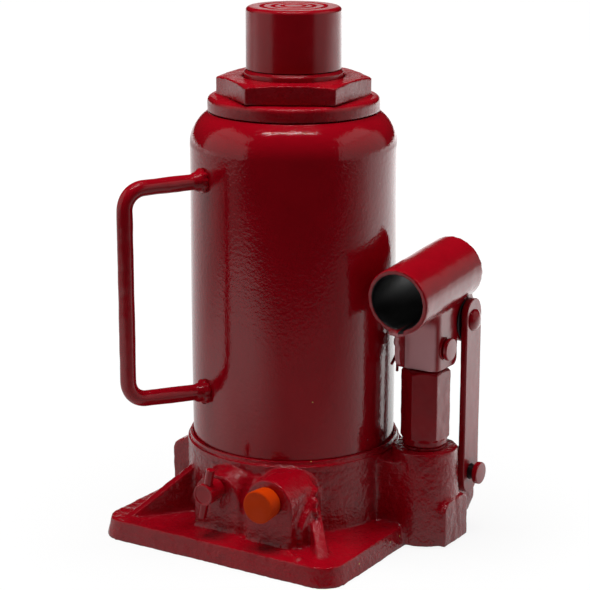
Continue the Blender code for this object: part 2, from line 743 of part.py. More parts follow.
def base_casting():
    plate = box(
        "base_casting",
        (-PLATE_LEFT, -PLATE_FRONT, 0),
        (PLATE_RIGHT, PLATE_REAR, PLATE_THICKNESS),
        PLATE_CORNER,
        PLATE_DRAFT,
    )
    ridges = [ridge("front_ridge", angle, FRONT_RIDGE_REACH, FRONT_RIDGE_TOP) for angle in FRONT_RIDGE_ANGLES]
    ridges += [ridge("rear_ridge", angle, REAR_RIDGE_REACH, REAR_RIDGE_TOP) for angle in REAR_RIDGE_ANGLES]
    ring_rear = RING_TOP_Z - 0.005
    release_boss = boss(
        "release_boss", RELEASE_X, RELEASE_FACE, RELEASE_BOSS_RADIUS, RELEASE_BOSS_TOP, ring_rear
    )
    overload_boss = boss(
        "overload_boss", OVERLOAD_X, OVERLOAD_FACE, OVERLOAD_BOSS_RADIUS, OVERLOAD_BOSS_TOP, OVERLOAD_BOSS_TOP
    )
    join(plate, ring(), wing(), *ridges, release_boss, overload_boss)
    join(plate, pump_bridge(), pump_boss(), pad(), lower_lug())
    bore_out(plate, seats(), pump_well(), *drills())
    bore_out(plate, *valve_drills("release", RELEASE_X, RELEASE_Z, RELEASE_BORE, RELEASE_BORE_END))
    bore_out(plate, *valve_drills("overload", OVERLOAD_X, OVERLOAD_Z, OVERLOAD_BORE, OVERLOAD_BORE_END))
    return finish(plate, CAST_ENAMEL)


# Tank, cylinder and top nut


def tank_shell():
    turn = math.degrees(math.acos((NUT_FLANGE_RADIUS - TANK_RADIUS + SHOULDER_RADIUS) / SHOULDER_RADIUS))
    centre = (TANK_RADIUS - SHOULDER_RADIUS, TANK_TOP_Z - SHOULDER_RADIUS * math.sin(math.radians(turn)))
    inner_radius = SHOULDER_RADIUS - TANK_WALL
    inner_turn = math.degrees(math.asin((TANK_TOP_Z - TANK_WALL - centre[1]) / inner_radius))
    hole = CYLINDER_RADIUS + 2 * FIT
    profile = [(hole, TANK_TOP_Z)]
    profile += arc(centre, SHOULDER_RADIUS, turn, 0, 6)
    profile += [(TANK_RADIUS, TANK_FOOT_Z), (TANK_RADIUS - TANK_WALL, TANK_FOOT_Z)]
    profile += arc(centre, inner_radius, 0, inner_turn, 4)
    profile.append((hole, TANK_TOP_Z - TANK_WALL))
    shell = turned("tank_shell", profile, LARGE_STEPS, ring=True)
    outside = (0, TANK_RADIUS + FILLER_HEAD_HEIGHT, FILLER_Z)
    cut(shell, drill("filler_hole", (0, 0, FILLER_Z), outside, FILLER_RADIUS + FIT))
    return finish(shell, ENAMEL)


def tank_gasket():
    foot = TANK_FLOOR_Z + FIT
    inner = TANK_RADIUS - TANK_WALL
    return finish(tube("tank_gasket", inner, TANK_RADIUS, foot, foot + TANK_GASKET_THICKNESS), RUBBER)


def cylinder_gasket():
    foot = CYLINDER_SEAT_Z + FIT
    top = foot + CYLINDER_GASKET_THICKNESS
    return finish(tube("cylinder_gasket", CYLINDER_BORE, CYLINDER_RADIUS, foot, top), BRASS)


def cylinder_tube():
    wall = tube("cylinder_tube", CYLINDER_BORE, CYLINDER_RADIUS, CYLINDER_FOOT_Z, CYLINDER_TOP_Z, LARGE_STEPS)
    return finish(wall, BRIGHT_STEEL)


def chamfered_hexagon(name, across_flats, low, high, turn, chamfer_top, chamfer_foot, location=(0, 0, 0)):
    """A hexagon whose corners are turned down at its ends."""
    flat = across_flats / 2 - 0.0003
    corner = across_flats / math.sqrt(3) + 0.0002
    body = hexagon(name, across_flats, low, high, turn, location)
    envelope = [
        (0, high + 0.0001),
        (flat, high + 0.0001),
        (corner, high - chamfer_top),
        (corner, low + chamfer_foot),
        (flat, low - 0.0001),
        (0, low - 0.0001),
    ]
    return trim(body, turned(name + "_envelope", envelope, MEDIUM_STEPS, location=location))


SEAL_OUTER = NUT_FLANGE_RADIUS - NUT_SEAL_INSET
SEAL_INNER = SEAL_OUTER - NUT_SEAL_WIDTH
NUT_BORE = RAM_RADIUS + RUNNING
WIPER_TOP_Z = NUT_TOP_Z - WIPER_SETBACK
WIPER_FOOT_Z = WIPER_TOP_Z - WIPER_HEIGHT


def top_nut():
    nut = chamfered_hexagon(
        "top_nut",
        NUT_ACROSS_FLATS,
        NUT_SHOULDER_Z - NUT_HEX_ROOT,
        NUT_TOP_Z,
        NUT_HEX_TURN,
        NUT_HEX_CHAMFER,
        0,
    )
    flange = [(0, NUT_SHOULDER_Z)]
    rounding = (NUT_FLANGE_RADIUS - NUT_FLANGE_ROUND, NUT_SHOULDER_Z - NUT_FLANGE_ROUND)
    flange += arc(rounding, NUT_FLANGE_ROUND, 90, 0, 4)
    flange += [(NUT_FLANGE_RADIUS, NUT_FOOT_Z), (0, NUT_FOOT_Z)]
    thread = CYLINDER_RADIUS + FIT
    groove = NUT_BORE + WIPER_DEPTH
    bore = [
        (0, NUT_TOP_Z + PROUD),
        (NUT_BORE, NUT_TOP_Z + PROUD),
        (NUT_BORE, WIPER_TOP_Z),
        (groove, WIPER_TOP_Z),
        (groove, WIPER_FOOT_Z),
        (NUT_BORE, WIPER_FOOT_Z),
        (NUT_BORE, NUT_THREAD_TOP_Z),
        (thread, NUT_THREAD_TOP_Z),
        (thread, NUT_FOOT_Z - PROUD),
        (0, NUT_FOOT_Z - PROUD),
    ]
    seal_top = NUT_FOOT_Z + NUT_SEAL_THICKNESS + FIT
    join(nut, turned("flange", flange, LARGE_STEPS))
    cut(nut, turned("nut_bore", bore, LARGE_STEPS))
    inner, outer = SEAL_INNER - FIT, SEAL_OUTER + FIT
    cut(nut, tube("seal_groove", inner, outer, NUT_FOOT_Z - PROUD, seal_top, LARGE_STEPS))
    return finish(nut, CAST_ENAMEL)


def top_nut_seal():
    top = NUT_FOOT_Z + NUT_SEAL_THICKNESS
    return finish(tube("top_nut_seal", SEAL_INNER, SEAL_OUTER, NUT_FOOT_Z, top, LARGE_STEPS), RUBBER)


def ram_wiper():
    outer = NUT_BORE + WIPER_DEPTH - FIT
    low, high = WIPER_FOOT_Z + FIT, WIPER_TOP_Z - FIT
    return finish(tube("ram_wiper", RAM_RADIUS + FIT, outer, low, high), RUBBER)


# Ram and saddle

GUIDE_FOOT_Z = PISTON_FOOT_Z + (PISTON_HEIGHT - GUIDE_RING_HEIGHT) / 2
GUIDE_INNER = PISTON_RADIUS - GUIDE_RING_DEPTH


def ram(axis):
    recess = SADDLE_SPIGOT_RADIUS + FIT
    recess_floor = SADDLE_FOOT_Z - SADDLE_SPIGOT_LENGTH - FIT
    groove = GUIDE_INNER - FIT
    screw = PISTON_SCREW_RADIUS + FIT
    profile = [
        (0, recess_floor),
        (recess, recess_floor),
        (recess, RAM_TOP_Z),
        (RAM_RADIUS - RAM_CHAMFER, RAM_TOP_Z),
        (RAM_RADIUS, RAM_TOP_Z - RAM_CHAMFER),
        (RAM_RADIUS, PISTON_TOP_Z),
        (PISTON_RADIUS, PISTON_TOP_Z),
        (PISTON_RADIUS, GUIDE_FOOT_Z + GUIDE_RING_HEIGHT + FIT),
        (groove, GUIDE_FOOT_Z + GUIDE_RING_HEIGHT + FIT),
        (groove, GUIDE_FOOT_Z - FIT),
        (PISTON_RADIUS, GUIDE_FOOT_Z - FIT),
        (PISTON_RADIUS, PISTON_FOOT_Z),
        (PISTON_SPIGOT_RADIUS, PISTON_FOOT_Z),
        (PISTON_SPIGOT_RADIUS, RAM_FOOT_Z),
        (screw, RAM_FOOT_Z),
        (screw, RAM_FOOT_Z + PISTON_SCREW_LENGTH + FIT),
        (0, RAM_FOOT_Z + PISTON_SCREW_LENGTH + FIT),
    ]
    return finish(turned("ram", profile, LARGE_STEPS), BRIGHT_STEEL, axis)


def piston_rings(axis):
    inner = PISTON_SPIGOT_RADIUS + FIT
    guide_top = GUIDE_FOOT_Z + GUIDE_RING_HEIGHT
    guide = tube("ram_guide_ring", GUIDE_INNER, PISTON_RADIUS, GUIDE_FOOT_Z, guide_top, LARGE_STEPS)
    finish(guide, BRASS, axis)
    backup = tube("ram_backup_ring", inner, PISTON_RADIUS, BACKUP_FOOT_Z, BACKUP_TOP_Z)
    finish(backup, SEAL, axis)
    lip = PISTON_RADIUS - CUP_LIP_WIDTH
    cup = [
        (inner, CUP_SEAL_TOP_Z),
        (PISTON_RADIUS, CUP_SEAL_TOP_Z),
        (PISTON_RADIUS, RAM_FOOT_Z),
        (lip, RAM_FOOT_Z),
        (lip - 0.002, RAM_FOOT_Z + CUP_HOLLOW_DEPTH),
        (PISTON_SCREW_HEAD_RADIUS + PROUD, RAM_FOOT_Z + CUP_HOLLOW_DEPTH),
        (PISTON_SCREW_HEAD_RADIUS, RAM_FOOT_Z),
        (inner, RAM_FOOT_Z),
    ]
    finish(turned("ram_cup_seal", cup, ring=True), SEAL, axis)


def ram_retaining_screw(axis):
    profile = [
        (0, RAM_FOOT_Z + PISTON_SCREW_LENGTH),
        (PISTON_SCREW_RADIUS, RAM_FOOT_Z + PISTON_SCREW_LENGTH),
        (PISTON_SCREW_RADIUS, SCREW_HEAD_TOP_Z),
        (PISTON_SCREW_HEAD_RADIUS, SCREW_HEAD_TOP_Z),
        (PISTON_SCREW_HEAD_RADIUS, SCREW_HEAD_FOOT_Z),
        (0, SCREW_HEAD_FOOT_Z),
    ]
    screw = turned("ram_retaining_screw", profile, MEDIUM_STEPS)
    socket_top = SCREW_HEAD_FOOT_Z + PISTON_SCREW_HEAD_HEIGHT / 2
    cut(screw, hexagon("screw_socket", PISTON_SCREW_RADIUS * 1.6, SCREW_HEAD_FOOT_Z - PROUD, socket_top, 0))
    return finish(screw, BLACK_STEEL, axis)


def saddle(axis):
    half = SADDLE_GROOVE_WIDTH / 2
    groove_floor = SADDLE_TOP_Z - SADDLE_GROOVE_DEPTH
    profile = [(0, SADDLE_TOP_Z)]
    for radius in SADDLE_GROOVE_RADII:
        profile += [(radius - half, SADDLE_TOP_Z), (radius - half / 2, groove_floor)]
        profile += [(radius + half / 2, groove_floor), (radius + half, SADDLE_TOP_Z)]
    profile += arc((SADDLE_RADIUS - SADDLE_ROUND, SADDLE_TOP_Z - SADDLE_ROUND), SADDLE_ROUND, 90, 0, 4)
    profile += [
        (SADDLE_RADIUS, SADDLE_FOOT_Z),
        (SADDLE_SPIGOT_RADIUS, SADDLE_FOOT_Z),
        (SADDLE_SPIGOT_RADIUS, SADDLE_FOOT_Z - SADDLE_SPIGOT_LENGTH),
        (0, SADDLE_FOOT_Z - SADDLE_SPIGOT_LENGTH),
    ]
    return finish(turned("saddle", profile, LARGE_STEPS), ENAMEL, axis)


# Carry handle


def handle_line():
    """The rod's centre line, as (reach, height): out from the tank, down, and back."""
    start = TANK_RADIUS - PROUD
    top_bend = (HANDLE_REACH - HANDLE_BEND, HANDLE_TOP_Z - HANDLE_BEND)
    low_bend = (HANDLE_REACH - HANDLE_BEND, HANDLE_LOW_Z + HANDLE_LOW_RISE + HANDLE_BEND)
    line = [(start, HANDLE_TOP_Z)]
    line += arc(top_bend, HANDLE_BEND, 90, 0, 6)
    line += arc(low_bend, HANDLE_BEND, 0, -90, 6)
    line.append((start, HANDLE_LOW_Z))
    return line


def carry_handle():
    points = [around(HANDLE_ANGLE, reach, height) for reach, height in handle_line()]
    handle = rod("carry_handle", points, HANDLE_ROD_RADIUS)
    bead = [
        (0, WELD_HEIGHT),
        (HANDLE_ROD_RADIUS + 0.0003, WELD_HEIGHT),
        (WELD_RADIUS * 0.9, WELD_HEIGHT * 0.6),
        (WELD_RADIUS, WELD_HEIGHT * 0.25),
        (WELD_RADIUS, 0),
        (0, 0),
    ]
    outward = Vector(around(HANDLE_ANGLE, 1, 0)).to_track_quat("Z", "Y").to_euler()
    for height in (HANDLE_TOP_Z, HANDLE_LOW_Z):
        foot = around(HANDLE_ANGLE, TANK_RADIUS - 0.0006, height)
        join(handle, turned("weld_bead", bead, SMALL_STEPS, location=foot, rotation=outward))
    cut(handle, cylinder("tank_clearance", TANK_RADIUS + FIT, TANK_FOOT_Z, TANK_TOP_Z, LARGE_STEPS))
    return finish(handle, ENAMEL)


# Release valve: turned pieces along Y, so their profiles give the distance in front of the ram's axis

RELEASE_BALL_Y = RELEASE_BORE_END + RELEASE_BALL_RADIUS - BALL_SEATING
NOSE_END = RELEASE_BALL_Y + RELEASE_BALL_RADIUS + FIT
O_RING_FLOOR = RELEASE_BORE - FIT - O_RING_DEPTH


def release_valve(axis):
    at = (RELEASE_X, 0, RELEASE_Z)
    shank = RELEASE_BORE - FIT
    nose = RELEASE_BALL_RADIUS + 0.0002
    profile = [
        (0, SPINDLE_FRONT),
        (SPINDLE_RADIUS - 0.0006, SPINDLE_FRONT),
        (SPINDLE_RADIUS, SPINDLE_FRONT - 0.0006),
        (SPINDLE_RADIUS, RELEASE_FACE + FIT),
        (shank, RELEASE_FACE + FIT),
        (shank, O_RING_Y + O_RING_WIDTH / 2),
        (O_RING_FLOOR, O_RING_Y + O_RING_WIDTH / 2),
        (O_RING_FLOOR, O_RING_Y - O_RING_WIDTH / 2),
        (shank, O_RING_Y - O_RING_WIDTH / 2),
        (shank, NOSE_END + 0.0055),
        (nose, NOSE_END + 0.0032),
        (nose, NOSE_END),
        (0, NOSE_END),
    ]
    spindle = turned("release_valve_spindle", profile, PLUNGER_STEPS, location=at, rotation=FACING_FRONT)
    middle = Vector((RELEASE_X, -TOMMY_Y, RELEASE_Z))
    along = Vector((math.sin(math.radians(TOMMY_TILT)), 0, math.cos(math.radians(TOMMY_TILT))))
    reach = along * SPINDLE_RADIUS * 2
    slot = box(
        "spindle_slot",
        (RELEASE_X - SPINDLE_RADIUS * 2, -SPINDLE_FRONT - PROUD, RELEASE_Z - 0.0005),
        (RELEASE_X + SPINDLE_RADIUS * 2, -SPINDLE_FRONT + 0.0006, RELEASE_Z + 0.0005),
    )
    cut(spindle, drill("tommy_hole", middle - reach, middle + reach, TOMMY_RADIUS + FIT), slot)
    finish(spindle, CAST_ENAMEL, axis)
    half = TOMMY_LENGTH / 2
    round_end = TOMMY_RADIUS * 0.7
    bar = [(0, half), (round_end, half), (TOMMY_RADIUS, half - 0.0007)]
    bar += [(TOMMY_RADIUS, 0.0007 - half), (round_end, -half), (0, -half)]
    tilt = (0, math.radians(TOMMY_TILT), 0)
    bar = turned("release_valve_tommy_bar", bar, SMALL_STEPS, location=middle, rotation=tilt)
    finish(bar, CAST_ENAMEL, axis)
    section = (RELEASE_BORE - O_RING_FLOOR) / 2 - FIT
    ring_line = arc((O_RING_FLOOR + FIT + section, O_RING_Y), section, 90, -225, 7)
    o_ring = turned(
        "release_valve_o_ring", ring_line, PLUNGER_STEPS, ring=True, location=at, rotation=FACING_FRONT
    )
    finish(o_ring, RUBBER, axis)
    seat = (RELEASE_X, -RELEASE_BALL_Y, RELEASE_Z)
    finish(ball("release_valve_ball", RELEASE_BALL_RADIUS, seat), BRIGHT_STEEL)


# Overload valve, along Y in the same way

OVERLOAD_BALL_Y = OVERLOAD_BORE_END + OVERLOAD_BALL_RADIUS - BALL_SEATING
CAP_END = OVERLOAD_FACE - CAP_SPIGOT_LENGTH
OVERLOAD_SCREW_END = CAP_END - FIT - OVERLOAD_SCREW_LENGTH


def spring_seat(ball_radius):
    """How far beyond a ball's centre the first turn of its spring rests."""
    return (ball_radius**2 - SPRING_RADIUS**2) ** 0.5 + SPRING_WIRE + FIT


def spring(name, start, end, turns):
    return finish(rod(name, helix(start, end, SPRING_RADIUS, turns), SPRING_WIRE, 1), BRIGHT_STEEL)


def overload_valve():
    at = (OVERLOAD_X, 0, OVERLOAD_Z)
    bore = OVERLOAD_BORE - FIT
    cap = [
        (0, CAP_FRONT),
        (CAP_RADIUS - 0.0012, CAP_FRONT),
        (CAP_RADIUS, CAP_FRONT - 0.0012),
        (CAP_BACK_RADIUS, OVERLOAD_FACE + FIT),
        (bore, OVERLOAD_FACE + FIT),
        (bore, CAP_END),
        (0, CAP_END),
    ]
    plug = turned("overload_valve_plug", cap, MEDIUM_STEPS, location=at, rotation=FACING_FRONT)
    finish(plug, ORANGE)
    screw_front = OVERLOAD_SCREW_END + OVERLOAD_SCREW_LENGTH
    screw = cylinder(
        "overload_valve_screw", bore, OVERLOAD_SCREW_END, screw_front, SMALL_STEPS, at, FACING_FRONT
    )
    slot = box(
        "overload_screw_slot",
        (OVERLOAD_X - 0.01, -screw_front - PROUD, OVERLOAD_Z - 0.0007),
        (OVERLOAD_X + 0.01, -screw_front + 0.0015, OVERLOAD_Z + 0.0007),
    )
    finish(cut(screw, slot), BRASS)
    seat = (OVERLOAD_X, -OVERLOAD_BALL_Y, OVERLOAD_Z)
    finish(ball("overload_valve_ball", OVERLOAD_BALL_RADIUS, seat), BRIGHT_STEEL)
    start = OVERLOAD_BALL_Y + spring_seat(OVERLOAD_BALL_RADIUS)
    end = OVERLOAD_SCREW_END - SPRING_WIRE - FIT
    spring("overload_valve_spring", (OVERLOAD_X, -start, OVERLOAD_Z), (OVERLOAD_X, -end, OVERLOAD_Z), 4)


# Valves and plug of the gallery, along the line from the pump to the wing

DISCHARGE_BALL_REACH = GALLERY_SEAT - DISCHARGE_BALL_RADIUS + BALL_SEATING


def gallery_plug(name, start, length, radius, material):
    plug = drill(name, gallery_point(start), gallery_point(start - length), radius)
    return finish(plug, material)


def gallery_valve():
    seat = gallery_point(DISCHARGE_BALL_REACH)
    finish(ball("discharge_valve_ball", DISCHARGE_BALL_RADIUS, seat), BRIGHT_STEEL)
    start = DISCHARGE_BALL_REACH - spring_seat(DISCHARGE_BALL_RADIUS)
    end = start - DISCHARGE_SPRING_LENGTH
    spring("discharge_valve_spring", gallery_point(start), gallery_point(end), 6)
    screw_start = end - SPRING_WIRE - FIT
    screw_radius = GALLERY_WIDE_RADIUS - FIT
    gallery_plug("discharge_valve_screw", screw_start, DISCHARGE_SCREW_LENGTH, screw_radius, BRASS)
    plug_start = GALLERY_MOUTH_DEPTH - GALLERY_MOUTH - FIT
    gallery_plug("passage_plug", plug_start, PLUG_LENGTH, PLUG_RADIUS, BLACK_STEEL)


def suction_valve():
    height = SUCTION_WELL_FLOOR_Z + (SUCTION_BALL_RADIUS**2 - SUCTION_SEAT_RADIUS**2) ** 0.5 + FIT / 2
    finish(ball("suction_valve_ball", SUCTION_BALL_RADIUS, (PUMP_X, PUMP_Y, height)), BRIGHT_STEEL)
    foot = TANK_FLOOR_Z + FIT
    top = foot + FILTER_HEIGHT
    inner = FILTER_RADIUS - FILTER_WALL
    profile = [
        (0, top),
        (FILTER_RADIUS, top),
        (FILTER_RADIUS, foot),
        (inner, foot),
        (inner, top - FILTER_WALL),
        (0, top - FILTER_WALL),
    ]
    finish(turned("oil_filter_screen", profile, SMALL_STEPS, location=(*SUCTION_MOUTH, 0)), BRASS)


def oil_filler_plug():
    head = TANK_RADIUS + FIT
    inside = math.sqrt((TANK_RADIUS - TANK_WALL) ** 2 - (FILLER_RADIUS + FILLER_LIP) ** 2) - FIT
    profile = [
        (0, head + FILLER_HEAD_HEIGHT),
        (FILLER_HEAD_RADIUS - PROUD, head + FILLER_HEAD_HEIGHT),
        (FILLER_HEAD_RADIUS, head + FILLER_HEAD_HEIGHT - PROUD),
        (FILLER_HEAD_RADIUS, head),
        (FILLER_RADIUS, head),
        (FILLER_RADIUS, inside),
        (FILLER_RADIUS + FILLER_LIP, inside),
        (FILLER_RADIUS, inside - 0.002),
        (0, inside - 0.002),
    ]
    rear = (math.radians(-90), 0, 0)
    plug = turned("oil_filler_plug", profile, PLUNGER_STEPS, location=(0, 0, FILLER_Z), rotation=rear)
    return finish(plug, RUBBER)


# Pump


def pump_cylinder():
    at = (PUMP_X, PUMP_Y, 0)
    barrel = chamfered_hexagon(
        "pump_cylinder",
        HEX_ACROSS_FLATS,
        HEX_FOOT_Z,
        HEX_TOP_Z,
        HEX_TURN,
        HEX_CHAMFER_TOP,
        HEX_CHAMFER_FOOT,
        at,
    )
    thread = PUMP_WELL_RADIUS - FIT
    profile = [
        (0, HEX_FOOT_Z + 0.0015),
        (HEX_ACROSS_FLATS / 2 - 0.0006, HEX_FOOT_Z + 0.0015),
        (PUMP_COLLAR_RADIUS, HEX_FOOT_Z),
        (PUMP_COLLAR_RADIUS, PUMP_COLLAR_FOOT_Z),
        (thread, PUMP_COLLAR_FOOT_Z),
        (thread, PUMP_WELL_FLOOR_Z + FIT),
        (0, PUMP_WELL_FLOOR_Z + FIT),
    ]
    join(barrel, turned("pump_collar", profile, MEDIUM_STEPS, location=at))
    cut(barrel, cylinder("pump_bore", PLUNGER_BORE, 0, HEX_TOP_Z + PROUD, PLUNGER_STEPS, at))
    return finish(barrel, CAST_ENAMEL)


def pump_cylinder_gasket():
    foot = PUMP_BOSS_TOP + FIT
    inner = PUMP_WELL_RADIUS
    washer = tube(
        "pump_cylinder_gasket",
        inner,
        PUMP_COLLAR_RADIUS,
        foot,
        foot + PUMP_WASHER_THICKNESS,
        MEDIUM_STEPS,
        (PUMP_X, PUMP_Y, 0),
    )
    return finish(washer, CAST_ENAMEL)


CUP_FOOT_Z = PLUNGER_FOOT_Z + PLUNGER_CUP_SETBACK
CUP_TOP_Z = CUP_FOOT_Z + PLUNGER_CUP_HEIGHT


def plunger_eye():
    """Outline of the eye, as (across, height) from the plunger pin."""
    foot = EYE_FOOT_Z - PLUNGER_PIN_Z
    return [(-EYE_RADIUS, foot), (EYE_RADIUS, foot)] + arc((0, 0), EYE_RADIUS, 0, 180, 10)


def slot_outline(half_length, half_height):
    """Outline of a slot with round ends."""
    offset = half_length - half_height
    return arc((offset, 0), half_height, -90, 90, 6) + arc((-offset, 0), half_height, 90, 270, 6)


def pump_plunger(axis):
    groove = PLUNGER_RADIUS - PLUNGER_CUP_DEPTH
    profile = [
        (0, EYE_FOOT_Z + SUNK),
        (PLUNGER_RADIUS, EYE_FOOT_Z + SUNK),
        (PLUNGER_RADIUS, CUP_TOP_Z + FIT),
        (groove, CUP_TOP_Z + FIT),
        (groove, CUP_FOOT_Z - FIT),
        (PLUNGER_RADIUS, CUP_FOOT_Z - FIT),
        (PLUNGER_RADIUS, PLUNGER_FOOT_Z),
        (0, PLUNGER_FOOT_Z),
    ]
    pin = (PUMP_X, PUMP_Y, PLUNGER_PIN_Z)
    plunger = turned("pump_plunger", profile, PLUNGER_STEPS, location=(PUMP_X, PUMP_Y, 0))
    join(plunger, slab("eye", plunger_eye(), 2 * EYE_HALF_WIDTH, pin, SIDE_ON))
    half_length = PLUNGER_PIN_RADIUS + FIT + EYE_SLOT_TRAVEL
    half_height = PLUNGER_PIN_RADIUS + 1.5 * FIT
    cut(plunger, slab("eye_slot", slot_outline(half_length, half_height), 3 * EYE_HALF_WIDTH, pin, SIDE_ON))
    finish(plunger, BLACK_STEEL, axis)
    cup = tube(
        "plunger_cup_seal",
        groove + FIT,
        PLUNGER_BORE - FIT,
        CUP_FOOT_Z,
        CUP_TOP_Z,
        PLUNGER_STEPS,
        (PUMP_X, PUMP_Y, 0),
    )
    finish(cup, SEAL, axis)


# Linkage. Its pins run along X, so their profiles give the distance from the pump's axis, + to the right


def flat_head(start, radius, height):
    """Profile of a flat head with a bevelled edge, which stands on its left face."""
    bevel = height * 0.25
    end = start + height
    return [(0, end), (radius - bevel, end), (radius, end - bevel), (radius, start)]


def domed_head(start, radius, height):
    """Profile of a domed head that stands on its left face."""
    return [
        (0, start + height),
        (radius * 0.55, start + height * 0.93),
        (radius * 0.88, start + height * 0.6),
        (radius, start + height * 0.2),
        (radius, start),
    ]


def headed_pin(name, radius, tail, shoulder, head_height, place):
    """A pin with a flat head on the right, and a hole for its cotter near its left end."""
    profile = flat_head(shoulder, PIN_HEAD_RADIUS, head_height)
    profile += [(radius, shoulder), (radius, 0.0008 - tail), (radius - 0.0008, -tail), (0, -tail)]
    pin = turned(name, profile, SMALL_STEPS, location=place, rotation=FACING_RIGHT)
    x = place[0] - tail + PIN_TAIL / 2
    across = Vector((0, 0, 2 * radius))
    middle = Vector((x, place[1], place[2]))
    cut(pin, drill(name + "_cotter_hole", middle - across, middle + across, COTTER_RADIUS + FIT))
    return pin, middle


def cotter(name, middle, pin_radius, parent=None):
    """A split pin through a headed pin: its eye on top, and its legs bent apart below."""
    eye = pin_radius + 2.2 * COTTER_RADIUS
    below = pin_radius + COTTER_RADIUS
    top = [middle + Vector((0, 0, eye)), middle - Vector((0, 0, below))]
    front = middle + Vector((-COTTER_RADIUS, -0.35 * COTTER_LEG, -below - COTTER_LEG))
    rear = middle + Vector((COTTER_RADIUS, 0.35 * COTTER_LEG, -below - 0.8 * COTTER_LEG))
    shank = rod(name, [*top, (top[1] + front) / 2 + Vector((0, 0.0008, 0)), front], COTTER_RADIUS)
    other = rod(name + "_leg", [middle, top[1], rear], COTTER_RADIUS * 0.96)
    loop = [
        (radius, height)
        for radius, height in arc((1.8 * COTTER_RADIUS, 0), COTTER_RADIUS * 0.9, 90, -225, 7)
    ]
    loop_place = middle + Vector((0, 0, eye + COTTER_RADIUS * 1.2))
    join(shank, other, turned(name + "_eye", loop, SMALL_STEPS, True, loop_place, FACING_RIGHT))
    return finish(shank, BLACK_STEEL, parent)


def link_plate(name, x, axis):
    top = LINK_LENGTH + LINK_END_OFFSET
    outline = arc((0, -LINK_END_OFFSET), LINK_HALF_WIDTH, 180, 360, 10)
    outline += arc((0, top), LINK_HALF_WIDTH, 0, 180, 10)
    plate = slab(name, outline, LINK_THICKNESS, (x, LINK_PIN_Y, LOWER_PIN_Z), SIDE_ON)
    for height in (LOWER_PIN_Z, UPPER_PIN_Z):
        start = (x - LINK_THICKNESS, LINK_PIN_Y, height)
        end = (x + LINK_THICKNESS, LINK_PIN_Y, height)
        cut(plate, drill(name + "_hole", start, end, LINK_PIN_RADIUS + FIT))
    return finish(plate, CAST_ENAMEL, axis)


def links(axis):
    place = (PUMP_X, LINK_PIN_Y, UPPER_PIN_Z)
    link_plate("link_plate_right", PUMP_X + LINK_INNER + LINK_THICKNESS / 2, axis)
    link_plate("link_plate_left", PUMP_X - LINK_INNER - LINK_THICKNESS / 2, axis)
    shoulder = LINK_OUTER + FIT
    right_head = domed_head(shoulder, PIN_HEAD_RADIUS, UPPER_PIN_HEAD_HEIGHT)
    left_head = [(radius, -height) for radius, height in reversed(right_head)]
    profile = [*right_head, (LINK_PIN_RADIUS, shoulder), (LINK_PIN_RADIUS, -shoulder), *left_head]
    pin = turned("link_upper_pin", profile, SMALL_STEPS, location=place, rotation=FACING_RIGHT)
    finish(pin, CAST_ENAMEL, axis)
    low, high = BRACKET_HALF_WIDTH + FIT, LINK_INNER - FIT
    hole = LINK_PIN_RADIUS + FIT
    right = tube("link_washer_right", hole, WASHER_RADIUS, low, high, MEDIUM_STEPS, place, FACING_RIGHT)
    left = tube("link_washer_left", hole, WASHER_RADIUS, -high, -low, MEDIUM_STEPS, place, FACING_RIGHT)
    finish(right, BLACK_STEEL, axis)
    finish(left, BLACK_STEEL, axis)


def lower_pin():
    place = (PUMP_X, LINK_PIN_Y, LOWER_PIN_Z)
    tail = LINK_OUTER + PIN_TAIL
    shoulder = LINK_OUTER + LOWER_PIN_STANDOUT - LOWER_PIN_HEAD_HEIGHT
    pin, middle = headed_pin(
        "link_lower_pin", LINK_PIN_RADIUS, tail, shoulder, LOWER_PIN_HEAD_HEIGHT, place
    )
    finish(pin, BLACK_STEEL)
    cotter("link_lower_pin_cotter", middle, LINK_PIN_RADIUS)


# Handle socket


def bracket():
    """The U bracket under the socket: a front web with a leg on each side, open behind and below."""
    rear = LINK_PIN_Y
    top = SOCKET_MOUTH_Z + PROUD
    half = BRACKET_HALF_WIDTH
    block = box(
        "handle_socket",
        (PUMP_X - half, WEB_FRONT_Y, BRACKET_FOOT_Z),
        (PUMP_X + half, rear, top),
        BRACKET_ROUND,
    )
    corner = (BRACKET_REAR_Y - BRACKET_ROUND, BRACKET_FOOT_Z + BRACKET_ROUND)
    below = BRACKET_FOOT_Z - SUNK
    side = [(WEB_FRONT_Y - SUNK, below), (corner[0] - 0.0001, below)]
    side += arc(corner, BRACKET_ROUND, -90, 0, 5)
    side += [(BRACKET_REAR_Y, top + PROUD), (WEB_FRONT_Y - SUNK, top + PROUD)]
    trim(block, slab("bracket_side", side, 3 * half, (PUMP_X, 0, 0), SIDE_ON))
    inner = half - BRACKET_WALL
    hollow = box(
        "bracket_hollow",
        (PUMP_X - inner, WEB_FRONT_Y + WEB_THICKNESS, BRACKET_FOOT_Z - SUNK),
        (PUMP_X + inner, rear + SUNK, HOLLOW_TOP_Z),
    )
    return cut(block, hollow)


def left_leg():
    """The left leg reaches forward of the web, with a round lower corner."""
    front = WEB_FRONT_Y - LEFT_LEG_REACH
    corner = (front + LEFT_LEG_ROUND, BRACKET_FOOT_Z + LEFT_LEG_ROUND)
    rear = WEB_FRONT_Y + LEFT_LEG_ROUND + SUNK
    outline = arc(corner, LEFT_LEG_ROUND, 180, 270, 5)
    root = SOCKET_MOUTH_Z - SOCKET_ROOT
    outline += [(rear, BRACKET_FOOT_Z), (rear, root), (front, root)]
    x = PUMP_X - BRACKET_HALF_WIDTH + BRACKET_WALL / 2
    return slab("left_leg", outline, BRACKET_WALL, (x, 0, 0), SIDE_ON)


